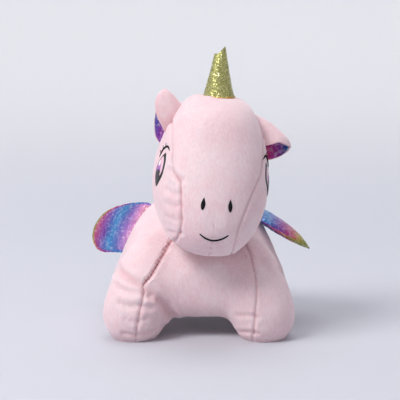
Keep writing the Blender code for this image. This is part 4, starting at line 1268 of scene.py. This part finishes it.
def smooth_line(corners, shares):
    """Points along a smooth open line through corners, at shares of its length in corners."""
    corners = np.asarray(corners, float)
    ends = np.vstack((2 * corners[0] - corners[1], corners, 2 * corners[-1] - corners[-2]))
    steps = np.clip(shares, 0, 1) * (len(corners) - 1)
    k = np.minimum(steps.astype(int), len(corners) - 2)
    t = (steps - k)[:, None]
    a, b, c, d = (ends[k + shift] for shift in range(4))
    return 0.5 * (2 * b + (c - a) * t + (2 * a - 5 * b + 4 * c - d) * t ** 2 + (3 * b - a - 3 * c + d)
                  * t ** 3)


def ear_layer(name, hand, offset, thickness, grow):
    """One cloth layer of a cupped ear, offset towards its outside."""
    front, crest, rear, tip = EARS[hand]
    rows = 36
    sheet = primitive(name, "grid", x_subdivisions=rows, y_subdivisions=rows, size=2.0)
    points = points_of(sheet) * MM
    s, t = points[:, 0], (points[:, 1] + 1) / 2
    shares = 1 - (1 - t) ** 1.3
    f, c, r = (smooth_line((*line, tip), shares) for line in (front, crest, rear))
    blunt = (1 + grow * 0.04) - 0.10 * t ** 6
    bend = np.sign(s) * np.abs(s) ** 0.85 * blunt
    w = bend[:, None]
    shape = c * (1 - w ** 2) + f * (w ** 2 - w) / 2 + r * (w ** 2 + w) / 2
    shape[:, 2] += 0.5 * np.cos(3 * math.pi * s) * (1 - t) ** 2
    set_points(sheet, shape)
    normals = normals_of(sheet)
    hollow = (np.array(front).mean(axis=0) + np.array(rear).mean(axis=0)) / 2 - np.array(crest).mean(axis=0)
    if (normals @ hollow).mean() > 0:
        sheet.data.flip_normals()
        normals = -normals
    set_points(sheet, shape + normals * (offset + 0.35 * speckle(shape, 8.0, offset))[:, None])
    rim = np.maximum(np.abs(s), t)
    band = 0.74 - 0.3 * np.abs(t - 0.15) - 0.12 * s if hand == "right" else 0.84 - 0.48 * t
    store(sheet, "band", np.clip(band, 0.0, 1.0))
    # Painted shade along the ear's rim, through the seam attribute that the velour back reads.
    store(sheet, "seam", 0.3 * np.exp(-((1.0 - rim) / 0.05) ** 2))
    modify(sheet, "SOLIDIFY", thickness=thickness * MM, offset=0.0)
    return modify(sheet, "BEVEL", width=0.3 * thickness * MM, segments=2, limit_method="ANGLE",
                  angle_limit=math.radians(50))


class PLUSH_OT_ears(bpy.types.Operator):
    """Cuts and cups the two ears, plush outside and foil inside"""
    bl_idname = "plush.ears"
    bl_label = "Ears"

    def execute(self, context):
        for hand, (front, crest, rear, tip) in EARS.items():
            start = np.mean([line[1] for line in (front, crest, rear)], axis=0)
            reach = np.array(tip) - start
            sewn = ("head", tuple((start - reach * 0.05) * MM), tuple((start + reach * 0.32) * MM))
            back = ear_layer(f"ear_plush_{hand}", hand, 1.0, 2.0, 0.5)
            finished(back, FINISHES["velour"], "velour", f"ear_{hand}", f"ear_{hand}_back", fill=0.3,
                     sewn=sewn)
            lining = ear_layer(f"ear_foil_{hand}", hand, -0.75, 1.0, 0.0)
            finished(lining, FINISHES["foil"], "foil", f"ear_{hand}", f"ear_{hand}_lining", fill=0.2,
                     sewn=sewn)
        return {"FINISHED"}


def crinkled(obj, strong, size, seed):
    """Real creases in a foil skin, before its fine bump."""
    points = points_of(obj)
    ridges = 1 - 2 * np.abs(speckle(points, size, seed))
    fine = 1 - 2 * np.abs(speckle(points, size * 0.42, seed + 4.0))
    push(obj, strong * (0.65 * ridges + 0.35 * fine - 0.4))
    return obj


WING_PLANS = {
    "right": ((-14, -28), (-3, -30.5), (12.7, -24.6), (27.7, -15.9), (39.5, -7.8), (49.1, 0.5), (56, 9),
              (59, 17),
              (59.7, 25.6), (56.5, 34.5), (49, 40.5), (40, 43), (32.7, 43.4), (22, 40.5), (14.7, 36.6),
              (5, 32),
              (-5.5, 27), (-13, 22), (-16, 5), (-16, -12)),
    "left": ((-9, -24), (0, -27), (14, -28), (28, -24), (40, -17), (50, -8), (57, 1), (58.5, 7), (54, 12),
             (44, 18),
             (30, 23), (15, 26), (0, 26), (-9, 23), (-12, 10), (-12, -10)),
}
WING_AXES = {"right": ((-0.5, 0.79, 0.29), (-0.5, 0.0, -0.86)),
             "left": ((0.84, -0.05, -0.52), (0.0, 1.0, 0.1))}
WING_PROFILE = ((0.05, 1.0), (0.17, 0.99), (0.29, 0.96), (0.41, 0.91), (0.52, 0.84), (0.62, 0.75),
                (0.71, 0.65),
                (0.79, 0.53), (0.85, 0.41), (0.895, 0.27), (0.925, 0.15), (0.95, 0.11), (0.975, 0.1),
                (0.995, 0.07))
WING_RIM = 96


def round_outline(corners, count):
    """An even, smooth closed line through corners."""
    corners = np.asarray(corners, float)
    size = len(corners)
    steps = np.arange(count * 8) * size / (count * 8)
    k, t = steps.astype(int), (steps % 1.0)[:, None]
    a, b, c, d = (corners[(k + shift) % size] for shift in (-1, 0, 1, 2))
    dense = 0.5 * (2 * b + (c - a) * t + (2 * a - 5 * b + 4 * c - d) * t ** 2 + (3 * b - a - 3 * c + d)
                   * t ** 3)
    walked = np.append(0, np.cumsum(np.linalg.norm(np.diff(np.vstack((dense, dense[:1])), axis=0), axis=1)))
    even = np.linspace(0, walked[-1], count, endpoint=False)
    return np.stack([np.interp(even, walked, np.append(dense[:, j], dense[0, j])) for j in (0, 1)], axis=1)


def axes_of(out, along):
    x = Vector(out).normalized()
    z = x.cross(Vector(along)).normalized()
    return np.array((x, z.cross(x), z)).T


class PLUSH_OT_wings(bpy.types.Operator):
    """Cuts, fills and sews the two foil wings"""
    bl_idname = "plush.wings"
    bl_label = "Wings"

    def execute(self, context):
        for hand, thickness in (("right", 12.0), ("left", 12.5)):
            outline = round_outline(WING_PLANS[hand], WING_RIM)
            middle = outline.mean(axis=0)
            rows = [(share, high) for share, high in WING_PROFILE] + [(share, -high) for share, high in
                                                                      WING_PROFILE[::-1]]
            wing = primitive(f"wing_foil_{hand}", "circle", vertices=WING_RIM, radius=rows[0][0],
                             fill_type="NGON")
            bpy.ops.object.mode_set(mode="EDIT")
            bpy.ops.mesh.select_all(action="SELECT")
            bpy.ops.mesh.poke()
            bpy.ops.mesh.select_all(action="DESELECT")
            bpy.ops.mesh.select_non_manifold()
            for before, after in zip(rows, rows[1:]):
                grown = after[0] / before[0]
                bpy.ops.mesh.extrude_region_move(TRANSFORM_OT_translate={"value": (0, 0,
                                                                                   after[1] - before[1])})
                bpy.ops.transform.resize(value=(grown, grown, 1.0), center_override=(0, 0, 0))
            bpy.ops.mesh.edge_face_add()
            bpy.ops.mesh.poke()
            bpy.ops.mesh.select_all(action="SELECT")
            bpy.ops.mesh.normals_make_consistent(inside=False)
            bpy.ops.object.mode_set(mode="OBJECT")
            plain = points_of(wing) * MM
            share = np.hypot(plain[:, 0], plain[:, 1])
            swing = np.mod(np.arctan2(plain[:, 0], plain[:, 1]), 2 * math.pi) / (2 * math.pi) * WING_RIM
            edge = np.stack([np.interp(swing, np.arange(WING_RIM + 1),
                                       np.append(outline[:, j], outline[0, j]))
                             for j in (0, 1)], axis=1)
            flat = middle + (edge - middle) * share[:, None]
            lift = plain[:, 2] + 1.0
            droop = -0.0016 * np.clip(flat[:, 0] - 10, 0, 99) ** 2 if hand == "left" else 0.0
            seat = np.array(joint_place(f"wing_{hand}_flap"))
            axes = axes_of(*WING_AXES[hand])
            shape = np.stack([flat[:, 0], flat[:, 1], lift * thickness / 2 + droop], axis=1)
            set_points(wing, seat + shape @ axes.T)
            wad = bpy.data.objects.new(f"wing_{hand}_fibre", wing.data.copy())
            context.collection.objects.link(wad)
            set_points(wad, seat + (np.append(middle, 0) + (shape - np.append(middle, 0))
                                    * (0.8, 0.8, 0.62)) @ axes.T)
            alone(wad)
            bpy.ops.object.mode_set(mode="EDIT")
            bpy.ops.mesh.select_all(action="SELECT")
            bpy.ops.mesh.normals_make_consistent(inside=False)
            bpy.ops.object.mode_set(mode="OBJECT")
            push(wad, 0.35 * speckle(points_of(wad), 8.0, 1.0))
            alone(wing)
            bpy.ops.object.mode_set(mode="EDIT")
            bpy.ops.mesh.select_all(action="SELECT")
            bpy.ops.mesh.normals_make_consistent(inside=False)
            bpy.ops.object.mode_set(mode="OBJECT")
            held = (share > 0.92).astype(float)
            swell(wing, held, context.scene.plush_sizes.pressure * 0.6, 1.6, start_in=0.3)
            store(wing, "share", share)
            store(wing, "swing", swing)
            subdivide(wing, 2)
            share, swing = (read(wing, name) for name in ("share", "swing"))
            points = points_of(wing)
            plan = (points - seat) @ axes
            pucker = np.exp(-((share - 0.84)
                              / 0.1) ** 2) * speckle(np.stack([plan[:, 0], plan[:, 1], share * 8], 1), 3.2)
            groove = np.exp(-((share - 0.93) / 0.02) ** 2)
            push(wing, 0.55 * pucker - 0.45 * groove)
            crinkled(wing, 0.42, 8.0, 2.0 if hand == "right" else 5.0)
            out = plan[:, 0] / 60.0
            slant = plan[:, 1] / 60.0
            band = 0.20 + 0.60 * out + 0.14 * slant if hand == "right" else 0.41 + 0.70 * out + 0.05 * slant
            band = band + 0.2 * np.clip((share - 0.9) / 0.08, 0, 1)
            store(wing, "band", np.clip(band, 0.0, 1.0))
            start, end = seat - axes[:, 0] * 2.0, seat + axes[:, 0] * 10.0
            finished(wad, FINISHES["fill"], "fill", f"wing_{hand}", f"wing_{hand}_batting", fill=0.8,
                     sewn=("torso", tuple(start * MM), tuple(end * MM)))
            finished(wing, FINISHES["foil"], "foil", f"wing_{hand}", f"wing_{hand}_top_cover",
                     f"wing_{hand}_under_cover", angle=60, fill=0.6,
                     sewn=("torso", tuple(start * MM), tuple(end * MM)))
        return {"FINISHED"}


class PLUSH_OT_mane(bpy.types.Operator):
    """Makes the foil crest down the back of the head"""
    bl_idname = "plush.mane"
    bl_label = "Mane"

    def execute(self, context):
        crest = closed_form("mane_foil", ["mane"], [], 0, 2.0, 3)
        local = into_head(points_of(crest))
        held = (np.linalg.norm(local[:, 1:], axis=1) < 45.0).astype(float)
        swell(crest, held, context.scene.plush_sizes.pressure, 1.8, start_in=0.4)
        subdivide(crest, 1)
        crinkled(crest, 0.6, 6.0, 1.0)
        height = into_head(points_of(crest))[:, 2]
        store(crest, "band", np.clip(0.08 + 0.86 * (height - height.min()) / np.ptp(height), 0, 1))
        finished(crest, FINISHES["foil"], "foil", "head", "mane", angle=60, fill=0.7)
        return {"FINISHED"}


class PLUSH_OT_tail(bpy.types.Operator):
    """Makes the padded foil tail"""
    bl_idname = "plush.tail"
    bl_label = "Tail"

    def execute(self, context):
        tail = closed_form("tail_foil", ["tail_cover"], ["tail_stuffing"], 0.9, 2.0, 3)
        seat = np.array(joint_place("tail_lift"))
        held = (np.linalg.norm(points_of(tail) - seat, axis=1) < 14.0).astype(float)
        swell(tail, held, context.scene.plush_sizes.pressure, 1.6, start_in=0.4)
        subdivide(tail, 2)
        crinkled(tail, 0.6, 6.5, 6.0)
        away = np.linalg.norm(points_of(tail) - seat, axis=1)
        store(tail, "band", np.clip(0.1 + 0.8 * (away - away.min()) / np.ptp(away), 0, 1))
        finished(tail, FINISHES["foil"], "foil", "tail", "tail_cover", angle=60, fill=0.75)
        return {"FINISHED"}


class PLUSH_OT_filling(bpy.types.Operator):
    """Teases out the loose fibre inside every stuffed piece"""
    bl_idname = "plush.filling"
    bl_label = "Filling"

    def execute(self, context):
        bodies = {node: body for body, nodes in frame["record"]["behaviour"]["bodies"].items()
                  for node in nodes}
        for node in sorted(bodies):
            if "stuffing" not in node:
                continue
            wad = copy_of_nodes(node + "_fibre", [node])
            subdivide(wad, 1)
            points = points_of(wad)
            loose = 0.5 * speckle(points, 9.0, 1.0) + 0.3 * speckle(points, 4.0, 2.0)
            push(wad, -1.1 + loose)
            finished(wad, FINISHES["fill"], "fill", bodies[node], node, fill=0.8)
        return {"FINISHED"}


class PLUSH_OT_label(bpy.types.Operator):
    """Hangs the blank care ribbon on the rump"""
    bl_idname = "plush.label"
    bl_label = "Care ribbon"

    def execute(self, context):
        low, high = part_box("care_label")
        middle = (low + high) / 2 / MM
        start = (middle.x, 200.0, middle.z)
        place, normal = on_surface(SURFACES["torso"], start, (0, -1, 0))
        ribbon = primitive("care_ribbon", "grid", x_subdivisions=14, y_subdivisions=22, size=2.0)
        points = points_of(ribbon) * MM
        up = Vector((0, 0, 1))
        out = Vector(normal).normalized()
        side = out.cross(up).normalized()
        rise = side.cross(out).normalized()
        s, t = points[:, 0], points[:, 1]
        curl = 0.7 + 0.8 * (1 - t) * 0.5 + 0.35 * np.sin(2.2 * s + 1.0) * (1 - t) / 2 + 0.25 * s * (1 - t) / 2
        shape = (np.array(place) + np.outer(s * 6.5, np.array(side)) + np.outer(t * 10.0, np.array(rise))
                 + np.outer(curl, np.array(out)))
        set_points(ribbon, shape)
        modify(ribbon, "SOLIDIFY", thickness=0.35 * MM, offset=0.0)
        finished(ribbon, FINISHES["ribbon"], "ribbon", "torso", "care_label")
        return {"FINISHED"}


# Each lamp: place, what it is aimed at, size, power and colour. Places are in metres
LAMPS = (
    ("key_lamp", (-1.4, -1.2, 2.0), (0, 0, 0.12), 1.0, 54.0, (1.0, 0.98, 0.97)),
    ("fill_lamp", (1.5, -1.6, 0.9), (0, 0, 0.12), 1.4, 1.6, (0.95, 0.96, 1.0)),
    ("top_lamp", (0.1, 0.3, 2.2), (0, 0, 0.12), 1.8, 17.0, (1.0, 0.98, 1.0)),
    ("wall_lamp", (0.0, 0.9, 2.6), (0, 3.6, 0.8), 1.8, 20.0, (0.92, 0.95, 1.0)),
)
SKY_STRENGTH = 0.22
CAMERA_PLACE, CAMERA_AIM, CAMERA_LENS = (-0.0014, -1.2378, 0.298), (-0.0014, 0.0, 0.1244), 114.93


class PLUSH_OT_stage(bpy.types.Operator):
    """Sets the pale sweep, the soft lamps and the camera"""
    bl_idname = "plush.stage"
    bl_label = "Studio"

    def execute(self, context):
        scene = context.scene
        sweep = primitive("studio_sweep", "circle", vertices=96, radius=2.0, fill_type="NGON")
        bpy.ops.object.mode_set(mode="EDIT")
        bpy.ops.mesh.select_all(action="SELECT")
        radius, height = 2.0, 0.0
        for step in range(1, 13):
            angle = math.pi / 2 * step / 12
            grown, risen = 2.0 + 1.6 * math.sin(angle), 1.6 * (1 - math.cos(angle))
            bpy.ops.mesh.extrude_region_move(TRANSFORM_OT_translate={"value": (0, 0, risen - height)})
            bpy.ops.transform.resize(value=(grown / radius, grown / radius, 1.0), center_override=(0, 0, 0))
            radius, height = grown, risen
        bpy.ops.mesh.extrude_region_move(TRANSFORM_OT_translate={"value": (0, 0, 2.4)})
        bpy.ops.mesh.delete(type="ONLY_FACE")
        bpy.ops.object.mode_set(mode="OBJECT")
        floor = primitive("studio_floor", "circle", vertices=96, radius=2.0, fill_type="NGON")
        sweep = joined(floor, sweep)
        bpy.ops.object.mode_set(mode="EDIT")
        bpy.ops.mesh.select_all(action="SELECT")
        bpy.ops.mesh.remove_doubles(threshold=0.0001)
        bpy.ops.mesh.normals_make_consistent(inside=True)
        bpy.ops.object.mode_set(mode="OBJECT")
        sweep.data.materials.append(FINISHES["floor"])
        smooth_shaded(sweep, 40)

        world = bpy.data.worlds.new("soft_room")
        world.use_nodes = True
        sky = world.node_tree.nodes["Background"]
        sky.inputs[0].default_value = (0.93, 0.94, 1.0, 1.0)
        sky.inputs[1].default_value = SKY_STRENGTH
        scene.world = world
        for name, place, target, size, energy, colour in LAMPS:
            bpy.ops.object.light_add(type="AREA", location=place)
            lamp = context.object
            lamp.name = name
            lamp.data.size = size
            lamp.data.energy = energy
            lamp.data.color = colour
            aim = Vector(target) - Vector(place)
            lamp.rotation_euler = aim.to_track_quat("-Z", "Y").to_euler()

        bpy.ops.object.camera_add(location=CAMERA_PLACE)
        camera = context.object
        aim = Vector(CAMERA_AIM) - camera.location
        camera.rotation_euler = aim.to_track_quat("-Z", "Y").to_euler()
        camera.data.lens, camera.data.sensor_width = CAMERA_LENS, 36.0
        scene.camera = camera
        scene.view_settings.view_transform = "Standard"
        return {"FINISHED"}


OPERATORS = (PLUSH_OT_torso, PLUSH_OT_head, PLUSH_OT_neck, PLUSH_OT_face, PLUSH_OT_closing, PLUSH_OT_horn,
             PLUSH_OT_ears, PLUSH_OT_wings, PLUSH_OT_mane, PLUSH_OT_tail, PLUSH_OT_filling, PLUSH_OT_label,
             PLUSH_OT_stage)


class PLUSH_PT_panel(bpy.types.Panel):
    """Lists the toy's sizes, colours and pieces"""
    bl_idname = "PLUSH_PT_panel"
    bl_label = "Plush unicorn"
    bl_space_type = "VIEW_3D"
    bl_region_type = "UI"
    bl_category = "Unicorn"

    def draw(self, context):
        for settings in (context.scene.plush_sizes, context.scene.plush_colours):
            for name in settings.__annotations__:
                self.layout.prop(settings, name)
        for operator in OPERATORS:
            self.layout.operator(operator.bl_idname)


CLASSES = (PlushSizes, PlushColours, *OPERATORS, PLUSH_PT_panel)


def register():
    for made in CLASSES:
        bpy.utils.register_class(made)
    bpy.types.Scene.plush_sizes = PointerProperty(type=PlushSizes)
    bpy.types.Scene.plush_colours = PointerProperty(type=PlushColours)


def unregister():
    del bpy.types.Scene.plush_sizes, bpy.types.Scene.plush_colours
    for made in reversed(CLASSES):
        bpy.utils.unregister_class(made)


def main():
    register()
    make_finishes(bpy.context.scene.plush_colours)
    for operator in OPERATORS:
        family, name = operator.bl_idname.split(".")
        getattr(getattr(bpy.ops, family), name)()


if __name__ == "__main__":
    main()
